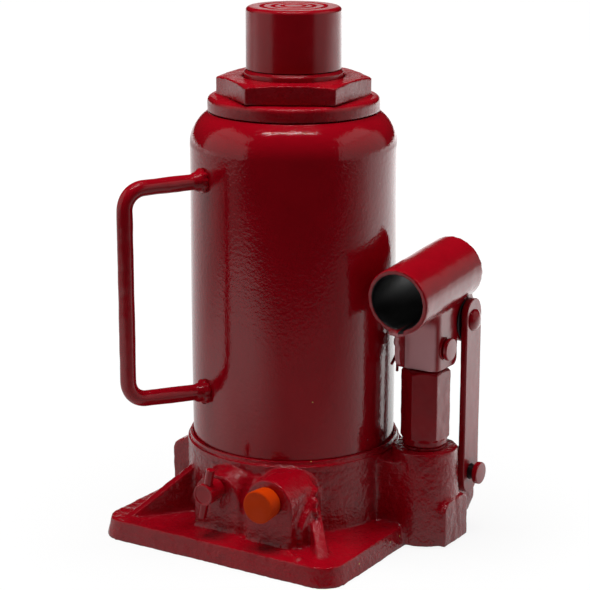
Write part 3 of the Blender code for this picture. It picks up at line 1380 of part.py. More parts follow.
def tail_lug():
    outline = arc((LINK_PIN_Y, UPPER_PIN_Z), TAIL_LUG_RADIUS, 180, 380, 14)
    outline.append((SOCKET_TAIL_Y - TAIL_LUG_SETBACK, SOCKET_TAIL_Z - SOCKET_ROOT))
    outline.append((LINK_PIN_Y - TAIL_LUG_RADIUS, SOCKET_MOUTH_Z))
    return slab("tail_lug", outline, 2 * BRACKET_HALF_WIDTH, (PUMP_X, 0, 0), SIDE_ON)


def handle_socket(axis):
    mouth = Vector((PUMP_X, SOCKET_MOUTH_Y, SOCKET_MOUTH_Z))
    tail = Vector((PUMP_X, SOCKET_TAIL_Y, SOCKET_TAIL_Z))
    beyond = (tail - mouth).normalized() * SUNK
    barrel = drill("socket_barrel", mouth, tail, SOCKET_RADIUS, MEDIUM_STEPS)
    bore = drill("socket_bore", mouth - beyond, tail + beyond, SOCKET_BORE, MEDIUM_STEPS)
    socket = bracket()
    weld_on(socket, left_leg(), tail_lug(), barrel)
    across = Vector((2 * BRACKET_HALF_WIDTH, 0, 0))
    plunger_pin = Vector((PUMP_X, PUMP_Y, PLUNGER_PIN_Z))
    upper_pin = Vector((PUMP_X, LINK_PIN_Y, UPPER_PIN_Z))
    holes = [
        drill("plunger_pin_hole", plunger_pin - across, plunger_pin + across, PLUNGER_PIN_RADIUS + FIT),
        drill("upper_pin_hole", upper_pin - across, upper_pin + across, LINK_PIN_RADIUS + FIT),
    ]
    bore_out(socket, bore, *holes)
    finish(socket, ENAMEL, axis)
    tail_length = BRACKET_HALF_WIDTH + PIN_TAIL
    shoulder = BRACKET_HALF_WIDTH + PLUNGER_PIN_STANDOUT - PLUNGER_PIN_HEAD_HEIGHT
    pin, middle = headed_pin(
        "plunger_pin", PLUNGER_PIN_RADIUS, tail_length, shoulder, PLUNGER_PIN_HEAD_HEIGHT, plunger_pin
    )
    finish(pin, CAST_ENAMEL, axis)
    cotter("plunger_pin_cotter", middle, PLUNGER_PIN_RADIUS, axis)


def build():
    base_casting()
    tank_shell()
    tank_gasket()
    cylinder_gasket()
    cylinder_tube()
    top_nut()
    top_nut_seal()
    ram_wiper()
    carry_handle()
    oil_filler_plug()
    ram_axis = pivot("ram_axis", (0, 0, RAM_FOOT_Z))
    ram(ram_axis)
    piston_rings(ram_axis)
    ram_retaining_screw(ram_axis)
    saddle(ram_axis)
    release_valve(pivot("release_axis", (RELEASE_X, -SPINDLE_FRONT, RELEASE_Z)))
    overload_valve()
    gallery_valve()
    suction_valve()
    pump_cylinder()
    pump_cylinder_gasket()
    pump_plunger(pivot("plunger_axis", (PUMP_X, PUMP_Y, PLUNGER_PIN_Z)))
    lower_pin()
    links(pivot("lower_link_axis", (PUMP_X, LINK_PIN_Y, LOWER_PIN_Z)))
    handle_socket(pivot("upper_link_axis", (PUMP_X, LINK_PIN_Y, UPPER_PIN_Z)))


build()
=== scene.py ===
"""Looks of the hydraulic bottle jack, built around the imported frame. Metres, +Z up, valves towards -Y."""

import math
import random

import bmesh
import bpy
import numpy as np
from mathutils import Euler, Matrix, Vector, noise

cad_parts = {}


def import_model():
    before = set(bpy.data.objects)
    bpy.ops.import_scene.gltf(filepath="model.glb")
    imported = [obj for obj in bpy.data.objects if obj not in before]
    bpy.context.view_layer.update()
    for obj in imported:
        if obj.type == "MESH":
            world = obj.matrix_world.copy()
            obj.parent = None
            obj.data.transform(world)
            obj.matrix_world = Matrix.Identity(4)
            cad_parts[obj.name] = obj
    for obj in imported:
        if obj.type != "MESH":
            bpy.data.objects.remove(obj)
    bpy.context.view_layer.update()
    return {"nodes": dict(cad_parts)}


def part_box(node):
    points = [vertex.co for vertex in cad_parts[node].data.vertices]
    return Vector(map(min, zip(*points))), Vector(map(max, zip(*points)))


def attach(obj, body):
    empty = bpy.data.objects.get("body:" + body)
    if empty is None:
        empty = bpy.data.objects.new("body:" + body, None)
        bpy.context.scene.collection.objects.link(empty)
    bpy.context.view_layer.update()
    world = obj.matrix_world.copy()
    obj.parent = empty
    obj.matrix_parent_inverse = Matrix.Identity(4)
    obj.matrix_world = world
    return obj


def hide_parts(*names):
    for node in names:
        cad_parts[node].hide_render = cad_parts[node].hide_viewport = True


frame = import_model()
NODES = frame["nodes"]
MM = 0.001
UP = Vector((0, 0, 1))

# Rotations that lay the axis of a turned shape towards -Y and towards +X
FACING_FRONT = (math.radians(90), 0, 0)
FACING_RIGHT = (0, math.radians(90), 0)

# Sizes repeated from the part's source
TANK_RADIUS = 0.0555
TANK_WALL = 0.0030
TANK_FOOT = 0.0463
SHOULDER = 0.0220
TANK_TOP = 0.2286
RING_RADIUS = 0.0582
RECESS_RADIUS = 0.0558
RING_TOP = 0.0510
FLANGE_RADIUS = 0.0460
NUT_FOOT = 0.2289
NUT_SHOULDER = 0.2378
PLATE_TOP = 0.0109
BOSS_RADIUS = 0.0145
BOSS_FOOT = 0.0040
BOSS_ROOT = 0.0140
RELEASE_FACE = 0.0680
RELEASE_BOSS_TOP = 0.0430
OVERLOAD_FACE = 0.0710
OVERLOAD_BOSS_TOP = 0.0473
PUMP_BOSS_TOP = 0.0522
PUMP_BOSS_FOOT_RADIUS = 0.0198
PUMP_BOSS_TOP_RADIUS = 0.0177
RAM_RADIUS = 0.0266
RAM_TOP = 0.2522
RAM_CHAMFER = 0.0017
SADDLE_RADIUS = 0.0254
SADDLE_FOOT = 0.2525
SADDLE_TOP = 0.2850
SADDLE_SPIGOT = 0.0140
SADDLE_SPIGOT_LENGTH = 0.0117
PISTON_TOP = 0.0676
GROOVE_RADII = (0.0060, 0.0110, 0.0170)
HANDLE_ANGLE = -116.5
HANDLE_RADIUS = 0.0043
HANDLE_REACH = 0.1020
HANDLE_TOP = 0.1970
HANDLE_LOW = 0.0815
HANDLE_LOW_RISE = 0.0020
HANDLE_BEND = 0.0110
RELEASE = Vector((-0.0060, 0.0, 0.0353))
OVERLOAD = Vector((0.0285, 0.0, 0.0356))
PUMP = Vector((0.0772, 0.0102, 0.0))
PLUNGER_PIN = Vector((0.0772, 0.0102, 0.1080))
PIN_HEAD = 0.0061
LOWER_PIN = Vector((0.0772, 0.0336, 0.0329))
UPPER_PIN = Vector((0.0772, 0.0336, 0.1191))
LINK_PIN_RADIUS = 0.0040
PLUNGER_PIN_RADIUS = 0.0032
BRACKET_HALF = 0.0114
LINK_OUTER = 0.0164
SOCKET_MOUTH = Vector((PUMP.x, -0.0230, 0.1393))
SOCKET_TAIL = Vector((PUMP.x, 0.0402, 0.1449))
SOCKET_RADIUS = 0.0176

# Each ridge's angle in degrees, the reach of its foot and the height of its top
RIDGES = (
    (-127.5, 0.0950, 0.0370),
    (-48.8, 0.0950, 0.0370),
    (44.0, 0.0840, 0.0470),
    (136.0, 0.0840, 0.0470),
)

# Sizes that only the looks have
SHOULDER_START = 0.2112
TANK_NECK = 0.0439
TANK_MOUTH = 0.0335
FLANGE_EDGE = 0.2304
BORE_RADIUS = 0.0145

# The camera stands at the photograph's viewing angle
CAMERA_PLACE = (0.557, -0.8928, 0.4069)
CAMERA_TURN = (math.radians(90 - 14.878), 0, math.radians(32.0))
TOWARDS_CAMERA = Vector((0.5293, -0.8484, 0))
CAMERA_RIGHT = Vector((0.8484, 0.5293, 0))


def place_camera():
    data = bpy.data.cameras.new("camera")
    data.lens = 121.43
    data.sensor_width = 36
    data.shift_x = 0.0046
    data.clip_start = 0.01
    data.clip_end = 50
    camera = bpy.data.objects.new("camera", data)
    camera.location = CAMERA_PLACE
    camera.rotation_euler = CAMERA_TURN
    bpy.context.scene.collection.objects.link(camera)
    bpy.context.scene.camera = camera


# Materials


class Nodes:
    """A node tree, with short calls for what the materials here need."""

    def __init__(self, tree):
        self.tree = tree
        self.tree.nodes.clear()

    def put(self, value, socket):
        """Links another node's output to the socket, or sets the socket to a plain value."""
        if isinstance(value, bpy.types.NodeSocket):
            self.tree.links.new(value, socket)
        else:
            socket.default_value = value

    def add(self, kind, settings=(), **inputs):
        """A new node. Its inputs are given by their names, or as i0, i1 and so on."""
        node = self.tree.nodes.new("ShaderNode" + kind)
        for key, value in dict(settings).items():
            setattr(node, key, value)
        for key, value in inputs.items():
            numbered = key[0] == "i" and key[1:].isdigit()
            self.put(value, node.inputs[int(key[1:]) if numbered else key.replace("_", " ")])
        return node

    def math(self, operation, first, second=0.0, third=0.0):
        return self.add("Math", {"operation": operation}, i0=first, i1=second, i2=third).outputs[0]

    def measure(self, operation, vector, other=(0, 0, 0)):
        """A number that VectorMath gives for one or two vectors."""
        return self.add("VectorMath", {"operation": operation}, i0=vector, i1=other).outputs["Value"]

    def dot(self, vector, other):
        return self.measure("DOT_PRODUCT", vector, other)

    def noise(self, vector, size, detail):
        """Noise whose features are about size metres across, from 0 to 1 round 0.5."""
        return self.add("TexNoise", {}, Vector=vector, Scale=1 / size, Detail=detail).outputs[0]

    def range(self, value, low, high, out_low=0.0, out_high=1.0, smooth=True):
        settings = {"interpolation_type": "SMOOTHSTEP" if smooth else "LINEAR"}
        node = self.add("MapRange", settings, i0=value, i1=low, i2=high, i3=out_low, i4=out_high)
        return node.outputs[0]

    def mix(self, factor, first, second):
        """A blend of two colours, each a socket or a tuple of red, green and blue."""
        node = self.add("Mix", {"data_type": "RGBA"}, i0=factor)
        for index, value in ((6, first), (7, second)):
            self.put((*value, 1) if isinstance(value, tuple) else value, node.inputs[index])
        return node.outputs[2]


TONE_SIZE = 0.018
SHEEN_SIZE = 0.006


def surface(name, colour, roughness, variation, grain, ior=1.5, metallic=0.0, extra=None):
    """A shader of softly varied colour and roughness, with a bump of noises of (size, depth) in metres."""
    material = bpy.data.materials.new(name)
    material.use_nodes = True
    nodes = Nodes(material.node_tree)
    place = nodes.add("TexCoord").outputs["Object"]
    tone = nodes.range(nodes.noise(place, TONE_SIZE, 3), 0.3, 0.7)
    light = tuple(min(1.0, c * (1 + variation)) for c in colour)
    dark = tuple(c * (1 - variation) for c in colour)
    paint = nodes.mix(tone, dark, light)
    sheen = nodes.noise(place, SHEEN_SIZE, 3)
    rough = nodes.range(sheen, 0.3, 0.7, roughness * 0.85, roughness * 1.15)
    if extra:
        paint, rough = extra(nodes, place, paint, rough)
    shader = nodes.add("BsdfPrincipled", {}, Base_Color=paint, Roughness=rough, Metallic=metallic, IOR=ior)
    height = 0.0
    for size, depth in grain:
        height = nodes.math("MULTIPLY_ADD", nodes.noise(place, size, 2), depth, height)
    bump = nodes.add("Bump", {}, Strength=1.0, Distance=1.0, Height=height)
    nodes.put(bump.outputs[0], shader.inputs["Normal"])
    nodes.put(shader.outputs[0], nodes.add("OutputMaterial").inputs[0])
    return material


RED = (0.37, 0.0012, 0.0085)
PAINT_IOR = 1.6
BARE_BRASS = (0.62, 0.38, 0.10)
# A pale pink painted on the bracket's front, as a painted reflection of the light it catches
PAINTED_SHEEN = (0.90, 0.44, 0.47)
# Near-black painted into the socket's bore and the dent at its mouth, as shade
BORE_SHADE = (0.006, 0.006, 0.007)


def brass_specks(nodes, place, paint, rough):
    """Specks where the paint is gone: a small spot in a few cells of a fine pattern."""
    cells = nodes.add("TexVoronoi", {"feature": "F1"}, Vector=place, Scale=160.0)
    near = nodes.math("LESS_THAN", cells.outputs["Distance"], 0.075)
    tint = nodes.add("SeparateColor", {}, Color=cells.outputs["Color"]).outputs[0]
    rare = nodes.math("GREATER_THAN", tint, 0.965)
    return nodes.mix(nodes.math("MULTIPLY", near, rare), paint, BARE_BRASS), rough


def bore_shade_and_front_sheen(nodes, place, paint, rough):
    """Blackens the socket's bore and the dent at its mouth with painted shade, and paints a pale reflection
    onto the bracket's front below the tube.
    """
    along = (SOCKET_TAIL - SOCKET_MOUTH).normalized()
    above = Vector((0, -along.z, along.y))
    side = nodes.math("SUBTRACT", nodes.dot(place, (1, 0, 0)), SOCKET_MOUTH.x)
    rise = nodes.math("SUBTRACT", nodes.dot(place, above), above.dot(SOCKET_MOUTH))
    squares = [nodes.math("MULTIPLY", value, value) for value in (side, rise)]
    reach = nodes.math("SQRT", nodes.math("ADD", *squares))
    # Painted shade: the bore's wall, out to just past its radius, is painted near-black
    inside = nodes.range(reach, BORE_RADIUS + 0.4 * MM, BORE_RADIUS + 1.0 * MM, 1.0, 0.0)
    off = nodes.math("ABSOLUTE", nodes.math("SUBTRACT", side, 2.1 * MM))
    dent = nodes.range(off, 1.1 * MM, 1.7 * MM, 1.0, 0.0)
    for value, low, high in (
        (reach, 16.5 * MM, 17.1 * MM),
        (rise, -14.6 * MM, -14.0 * MM),
        (nodes.dot(place, (0, 1, 0)), -12.0 * MM, -10.0 * MM),
    ):
        dent = nodes.math("MULTIPLY", dent, nodes.range(value, low, high, 1.0, 0.0))
    # Painted shade: the bore and the dent take the near-black colour and a duller roughness
    black = nodes.math("MAXIMUM", inside, dent)
    # Painted reflection: faces below the tube that look towards -Y get the pale colour and a rougher finish
    below = nodes.range(nodes.dot(place, (0, 0, 1)), 0.119, 0.125, 1.0, 0.0)
    normal = nodes.add("TexCoord").outputs["Normal"]
    facing = nodes.range(nodes.dot(normal, (0, -1, 0)), 0.6, 0.95)
    painted_sheen_mask = nodes.math("MULTIPLY", below, facing)
    clear, sheen_roughness, dull = (0.2,) * 3, (0.42,) * 3, (0.5,) * 3
    paint = nodes.mix(painted_sheen_mask, paint, PAINTED_SHEEN)
    rough = nodes.mix(painted_sheen_mask, clear, sheen_roughness)
    return nodes.mix(black, paint, BORE_SHADE), nodes.mix(black, rough, dull)


def enamel(kind, roughness, variation, grain, extra=None):
    """The jack's red paint, as it lies on one kind of piece."""
    return surface(kind + "_enamel_red", RED, roughness, variation, grain, PAINT_IOR, extra=extra)


ORANGE_GRAIN = [(0.0022, 20e-6), (0.0010, 10e-6)]
MATERIALS = {
    "gloss": enamel("gloss", 0.09, 0.04, [(0.0024, 90e-6), (0.0012, 36e-6)], brass_specks),
    "rod": enamel("rod", 0.18, 0.06, [(0.0036, 50e-6), (0.0014, 16e-6)]),
    "cast": enamel("cast", 0.17, 0.10, [(0.0024, 320e-6), (0.0012, 150e-6)], brass_specks),
    "nut": enamel("nut", 0.28, 0.08, [(0.0022, 110e-6), (0.0011, 80e-6)]),
    "forged": enamel("forged", 0.18, 0.08, [(0.0036, 60e-6), (0.0014, 20e-6)]),
    "socket": enamel("socket", 0.20, 0.06, [(0.0036, 30e-6), (0.0014, 8e-6)], bore_shade_and_front_sheen),
    "turned": enamel("turned", 0.22, 0.05, [(0.0030, 20e-6), (0.0012, 6e-6)]),
    "black": surface("black_oiled_steel", (0.012, 0.011, 0.012), 0.38, 0.25, [(0.0016, 20e-6)]),
    "steel": surface("bright_ground_steel", (0.50, 0.50, 0.51), 0.24, 0.06, [(0.0012, 3e-6)], metallic=1.0),
    "brass": surface("machined_brass", (0.62, 0.42, 0.14), 0.28, 0.08, [(0.0012, 3e-6)], metallic=1.0),
    "rubber": surface("black_seal_rubber", (0.012, 0.012, 0.012), 0.62, 0.15, [(0.0012, 14e-6)]),
    "seal": surface("seal_polyurethane", (0.48, 0.34, 0.13), 0.42, 0.08, [(0.0014, 8e-6)]),
    "orange": surface("orange_moulded_plastic", (0.62, 0.044, 0.0), 0.70, 0.06, ORANGE_GRAIN, 1.25),
}
SLOT_LOOKS = {
    "cast_enamel": "cast",
    "gloss_enamel": "gloss",
    "black_steel": "black",
    "bright_steel": "steel",
    "brass": "brass",
    "black_rubber": "rubber",
    "seal_plastic": "seal",
    "orange_plastic": "orange",
}


def dress_nodes():
    """Gives every CAD node the procedural look of its own slot."""
    for node in NODES.values():
        slot_name = node.data.materials[0].name.split(".")[0] if node.data.materials else ""
        look = SLOT_LOOKS.get(slot_name, "black")
        node.data.materials.clear()
        node.data.materials.append(MATERIALS[look])


# Meshes


def add_piece(name, mesh, look, body, slot, replaced=(), sharp=0):
    """Makes a mesh a piece of the scene. Edges over sharp degrees are hard, and with 0 none is."""
    mesh.materials.clear()
    mesh.materials.append(MATERIALS[look])
    mesh.shade_smooth()
    if sharp:
        mesh.set_sharp_from_angle(angle=math.radians(sharp))
    thing = bpy.data.objects.new(name, mesh)
    bpy.context.scene.collection.objects.link(thing)
    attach(thing, body)
    if replaced:
        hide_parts(*replaced)


def mesh_of(name, points, faces):
    mesh = bpy.data.meshes.new(name)
    mesh.from_pydata([tuple(p) for p in points], [], [tuple(f) for f in faces])
    mesh.validate()
    mesh.update()
    return mesh


def volume_of(mesh):
    """Six times the volume that the faces enclose, which is negative where they face inwards."""
    mesh.calc_loop_triangles()
    corners = np.empty(len(mesh.loop_triangles) * 3, dtype=np.int32)
    mesh.loop_triangles.foreach_get("vertices", corners)
    return np.linalg.det(coordinates(mesh)[corners.reshape(-1, 3)]).sum()


def face_outward(mesh):
    if volume_of(mesh) < 0:
        mesh.flip_normals()


def coordinates(mesh, kind="co"):
    values = np.empty(len(mesh.vertices) * 3)
    mesh.vertices.foreach_get(kind, values)
    return values.reshape(-1, 3)


def set_coordinates(mesh, points):
    mesh.vertices.foreach_set("co", points.ravel())
    mesh.update()


def turned(points, rotation, place):
    """Points turned by an Euler rotation and moved to a place."""
    return np.asarray(points) @ np.array(Euler(rotation).to_matrix()).T + np.array(place)


def arc(centre, radius, start, end, steps):
    """Points of an arc, from start to end degrees, both ends included."""
    angles = [math.radians(start + (end - start) * i / steps) for i in range(steps + 1)]
    return [(centre[0] + radius * math.cos(a), centre[1] + radius * math.sin(a)) for a in angles]


def eased(profile, radius, steps=4):
    """The profile with every corner between its ends rounded where it turns by over 30 degrees."""
    made = [profile[0]]
    for before, corner, after in zip(profile, profile[1:], profile[2:]):
        here, back, on = Vector(corner), Vector(before), Vector(after)
        inward, onward = back - here, on - here
        size = min(radius, inward.length * 0.45, onward.length * 0.45)
        straight = inward.angle(onward, math.pi) > math.radians(150)
        if size < 1e-6 or straight:
            made.append(tuple(here))
            continue
        start = here + inward.normalized() * size
        end = here + onward.normalized() * size
        for i in range(steps + 1):
            t = i / steps
            made.append(tuple(start * (1 - t) ** 2 + here * 2 * t * (1 - t) + end * t**2))
    made.append(profile[-1])
    return made


def lathe(name, profile, steps=160, place=(0, 0, 0), rotation=(0, 0, 0)):
    """A closed turned mesh. The profile of (radius, height) runs from axis to axis, or is a closed ring."""
    on_axis = 1e-7
    ring = profile[0][0] > on_axis
    angles = np.linspace(0, 2 * math.pi, steps, endpoint=False)
    points, rows = [], []
    for radius, height in profile:
        if radius <= on_axis:
            rows.append([len(points)])
            points.append((0, 0, height))
            continue
        rows.append(list(range(len(points), len(points) + steps)))
        points += [(radius * math.cos(a), radius * math.sin(a), height) for a in angles]
    faces = []
    pairs = list(zip(rows, rows[1:])) + ([(rows[-1], rows[0])] if ring else [])
    for low, high in pairs:
        for i in range(steps):
            j = (i + 1) % steps
            if len(low) == 1:
                faces.append((low[0], high[j], high[i]))
            elif len(high) == 1:
                faces.append((low[i], low[j], high[0]))
            else:
                faces.append((low[i], low[j], high[j], high[i]))
    mesh = mesh_of(name, turned(points, rotation, place), faces)
    face_outward(mesh)
    return mesh


def swept(name, line, radius, sides):
    """A closed round rod along the points of a line."""
    line = [Vector(p) for p in line]
    last = len(line) - 1
    points, faces = [], []
    side = (line[1] - line[0]).normalized().orthogonal().normalized()
    for i, here in enumerate(line):
        along = (line[min(i + 1, last)] - line[max(i - 1, 0)]).normalized()
        side = (side - along * side.dot(along)).normalized()
        other = along.cross(side)
        for k in range(sides):
            a = 2 * math.pi * k / sides
            points.append(here + (side * math.cos(a) + other * math.sin(a)) * radius)
    for i in range(last):
        for k in range(sides):
            j = (k + 1) % sides
            faces.append((i * sides + k, i * sides + j, (i + 1) * sides + j, (i + 1) * sides + k))
    faces.append(tuple(reversed(range(sides))))
    faces.append(tuple(range(last * sides, (last + 1) * sides)))
    mesh = mesh_of(name, points, faces)
    face_outward(mesh)
    return mesh


def blob(centre, radius, stretch=(1, 1, 1)):
    """A closed ellipsoid, for a bead of weld or a run of paint."""
    steps = 12
    angles = [math.pi * i / steps for i in range(1, steps)]
    profile = [(0.0, -1.0), *((math.sin(a), -math.cos(a)) for a in angles), (0.0, 1.0)]
    mesh = lathe("blob", profile, 16)
    mesh.transform(Matrix.Translation(centre) @ Matrix.Diagonal((*(Vector(stretch) * radius), 1)))
    return mesh


def merged(name, meshes):
    points, faces = [], []
    for mesh in meshes:
        start = len(points)
        points += [tuple(v.co) for v in mesh.vertices]
        faces += [tuple(start + i for i in p.vertices) for p in mesh.polygons]
    return mesh_of(name, points, faces)


def node_mesh(name):
    return NODES[name].data.copy()


def recast(name, sources, voxel, rounds, lumps=(), seed=0, fillet=0, rounded=()):
    """The sources fused into one skin, with softened corners and low lumps of (size, height) in metres."""
    source = bpy.data.objects.new(name + "_source", merged(name + "_source", sources))
    bpy.context.scene.collection.objects.link(source)
    remesh = source.modifiers.new("remesh", "REMESH")
    remesh.mode = "VOXEL"
    remesh.voxel_size = voxel
    smooth = source.modifiers.new("smooth", "SMOOTH")
    smooth.factor = 0.5
    smooth.iterations = rounds
    graph = bpy.context.evaluated_depsgraph_get()
    mesh = bpy.data.meshes.new_from_object(source.evaluated_get(graph))
    mesh.name = name
    bpy.data.objects.remove(source)
    for what in rounded:
        true_round(mesh, *what)
    if fillet:
        fill_corners(mesh, fillet)
    raise_lumps(mesh, lumps, seed)
    return mesh


def fill_corners(mesh, rounds):
    """Fillets: only the hollows are smoothed, so inner corners fill up and outer edges stay."""
    strength, normals_every = 0.5, 8
    edges = np.empty(len(mesh.edges) * 2, dtype=np.int32)
    mesh.edges.foreach_get("vertices", edges)
    first, second = edges.reshape(-1, 2).T
    count = len(mesh.vertices)
    weight = np.bincount(first, minlength=count) + np.bincount(second, minlength=count)
    points = coordinates(mesh)
    normals = coordinates(mesh, "normal")
    for step in range(rounds):
        if step and step % normals_every == 0:
            set_coordinates(mesh, points)
            normals = coordinates(mesh, "normal")
        mean = np.empty_like(points)
        for k in range(3):
            total = np.bincount(first, points[second, k], count)
            total += np.bincount(second, points[first, k], count)
            mean[:, k] = total / weight
        lift = ((mean - points) * normals).sum(1)
        points += normals * (np.maximum(lift, 0) * strength)[:, None]
    set_coordinates(mesh, points)


def polar(points, place, along):
    """Each point's height along an axis through the place, and the way and distance from the axis to it."""
    along = np.array(Vector(along).normalized())
    offset = points - np.array(place)
    height = offset @ along
    across = offset - height[:, None] * along
    return height, across, np.linalg.norm(across, axis=1)


def true_round(mesh, place, along, radius, within, low, high, end_radius=None):
    """Moves the vertices near a cylinder or cone onto it, so that no flats of the CAD solid show."""
    points = coordinates(mesh)
    height, across, reach = polar(points, place, along)
    share = np.clip((height - low) / (high - low), 0, 1)
    wanted = radius + ((end_radius or radius) - radius) * share
    near = (np.abs(reach - wanted) < within) & (height > low) & (height < high)
    points[near] += across[near] * ((wanted[near] - reach[near]) / reach[near])[:, None]
    set_coordinates(mesh, points)


def raise_lumps(mesh, lumps, seed):
    """Lifts the skin by noises of (size, height) in metres, whose place in the noise the seed picks."""
    points, normals = coordinates(mesh), coordinates(mesh, "normal")
    offset = Vector((3.7, 1.9, 5.3)) * seed
    height = np.zeros(len(points))
    for size, depth in lumps:
        height += np.array([noise.noise(Vector(p) / size + offset) for p in points]) * depth
    set_coordinates(mesh, points + normals * height[:, None])


# Pieces


def tank():
    """The drawn oil tank: a little fuller than its foot, with a round shoulder up to its neck."""
    inner, widest = TANK_RADIUS - TANK_WALL, TANK_RADIUS + 0.4 * MM
    centre = (widest - SHOULDER, SHOULDER_START)
    outer_end = math.acos((FLANGE_RADIUS - centre[0]) / SHOULDER)
    inner_end = math.asin((TANK_TOP - TANK_WALL - centre[1]) / (SHOULDER - TANK_WALL))
    profile = [(inner, TANK_FOOT), (TANK_RADIUS, TANK_FOOT), (TANK_RADIUS, 0.052)]
    profile += [(widest - 0.2 * MM, 0.075), (widest, 0.11), (widest, 0.15)]
    profile += arc(centre, SHOULDER, 0, math.degrees(outer_end), 28)
    profile += [(TANK_NECK, profile[-1][1]), (TANK_NECK, TANK_TOP)]
    profile += [(TANK_MOUTH, TANK_TOP), (TANK_MOUTH, TANK_TOP - TANK_WALL)]
    profile += arc(centre, SHOULDER - TANK_WALL, math.degrees(inner_end), 0, 16)
    mesh = lathe("tank", profile, 256)
    add_piece("tank", mesh, "gloss", "root", "gloss_enamel", ["tank_shell"], 30)


def valve_boss(x, face, top, rear_top):
    """An arched boss from its front face back into the ring, rising a little towards it."""
    outline = [(BOSS_RADIUS, BOSS_FOOT)] + arc((0, top - BOSS_RADIUS), BOSS_RADIUS, 0, 180, 40)
    outline += [(-BOSS_RADIUS, BOSS_FOOT)]
    rear = BOSS_ROOT - RECESS_RADIUS
    points = [(x + across, -face, z) for across, z in outline]
    points += [(x + across, rear, z * rear_top / top) for across, z in outline]
    count = len(outline)
    faces = [(i, (i + 1) % count, (i + 1) % count + count, i + count) for i in range(count)]
    faces += [tuple(reversed(range(count))), tuple(range(count, 2 * count))]
    mesh = mesh_of("boss", points, faces)
    face_outward(mesh)
    return mesh


def boss_flare():
    """The rise behind the valve bosses, which widens from their arches to a wavy edge on the ring."""
    rear_reach, depth, front_height, under_height = 0.0480, 0.0185, 0.023, 0.005
    columns, rows = np.linspace(-0.0215, 0.0470, 90), np.linspace(0, 1, 24)
    front = np.full_like(columns, front_height)
    for x, top in ((RELEASE.x, RELEASE_BOSS_TOP), (OVERLOAD.x, OVERLOAD_BOSS_TOP)):
        rise = np.sqrt(np.maximum(BOSS_RADIUS**2 - (columns - x) ** 2, 0))
        arch = top - 0.5 * MM - BOSS_RADIUS + rise
        front = np.maximum(front, np.where(rise > 0, arch, 0))
    crest = [(-0.024, 0.034), (-0.014, 0.0425), (-0.004, 0.0458), (0.006, 0.0435), (0.0145, 0.0412)]
    crest += [(0.021, 0.0440), (0.028, 0.0466), (0.037, 0.0450), (0.047, 0.0385), (0.051, 0.034)]
    rear = np.interp(columns, *np.array(crest).T)
    rear = np.convolve(np.pad(rear, 4, "edge"), np.full(9, 1 / 9), "valid")
    wall = np.sqrt(RING_RADIUS**2 - columns**2)
    ledge = np.maximum((wall + 1.5 * MM - rear_reach) / depth, 0.05)
    points, faces, wide = [], [], len(columns)
    for t in rows:
        line = rear + (front - rear) * np.clip((t - ledge) / (1 - ledge), 0, 1) ** 1.3
        points += [(x, -rear_reach - depth * t, z) for x, z in zip(columns, line)]
    points += [(x, y, under_height) for x, y, z in points]
    under = wide * len(rows)
    for row in range(len(rows) - 1):
        for k in range(wide - 1):
            a = row * wide + k
            faces += [(a, a + 1, a + wide + 1, a + wide)]
            faces += [(under + a, under + a + wide, under + a + wide + 1, under + a + 1)]
        for a in (row * wide, row * wide + wide - 1):
            faces += [(a, a + wide, under + a + wide, under + a)]
    for a in [*range(wide - 1), *range(under - wide, under - 1)]:
        faces += [(a, a + 1, under + a + 1, under + a)]
    mesh = mesh_of("boss_flare", points, faces)
    tool = bmesh.new()
    tool.from_mesh(mesh)
    bmesh.ops.recalc_face_normals(tool, faces=tool.faces)
    tool.to_mesh(mesh)
    tool.free()
    return mesh


def taper_ridges(mesh):
    """Narrows the ribs towards their crests, as a casting's are."""
    half, fade, narrowing = 5 * MM, 0.8 * MM, 0.22
    points = coordinates(mesh)
    for angle, end, top in RIDGES:
        a = math.radians(angle)
        out = points[:, 0] * math.cos(a) + points[:, 1] * math.sin(a)
        off = points[:, 1] * math.cos(a) - points[:, 0] * math.sin(a)
        crest = np.interp(out, [RING_RADIUS, end], [top, PLATE_TOP])
        above = points[:, 2] - PLATE_TOP
        rise = np.clip(above / np.maximum(crest - PLATE_TOP, 1 * MM), 0, 1)
        near = (out > RING_RADIUS - 2 * MM) & (np.abs(off) < half) & (above > 0)
        share = np.clip((half - np.abs(off)) / fade, 0, 1)
        move = np.where(near, off * narrowing * rise * share, 0)
        points[:, 0] += move * math.sin(a)
        points[:, 1] -= move * math.cos(a)
    set_coordinates(mesh, points)


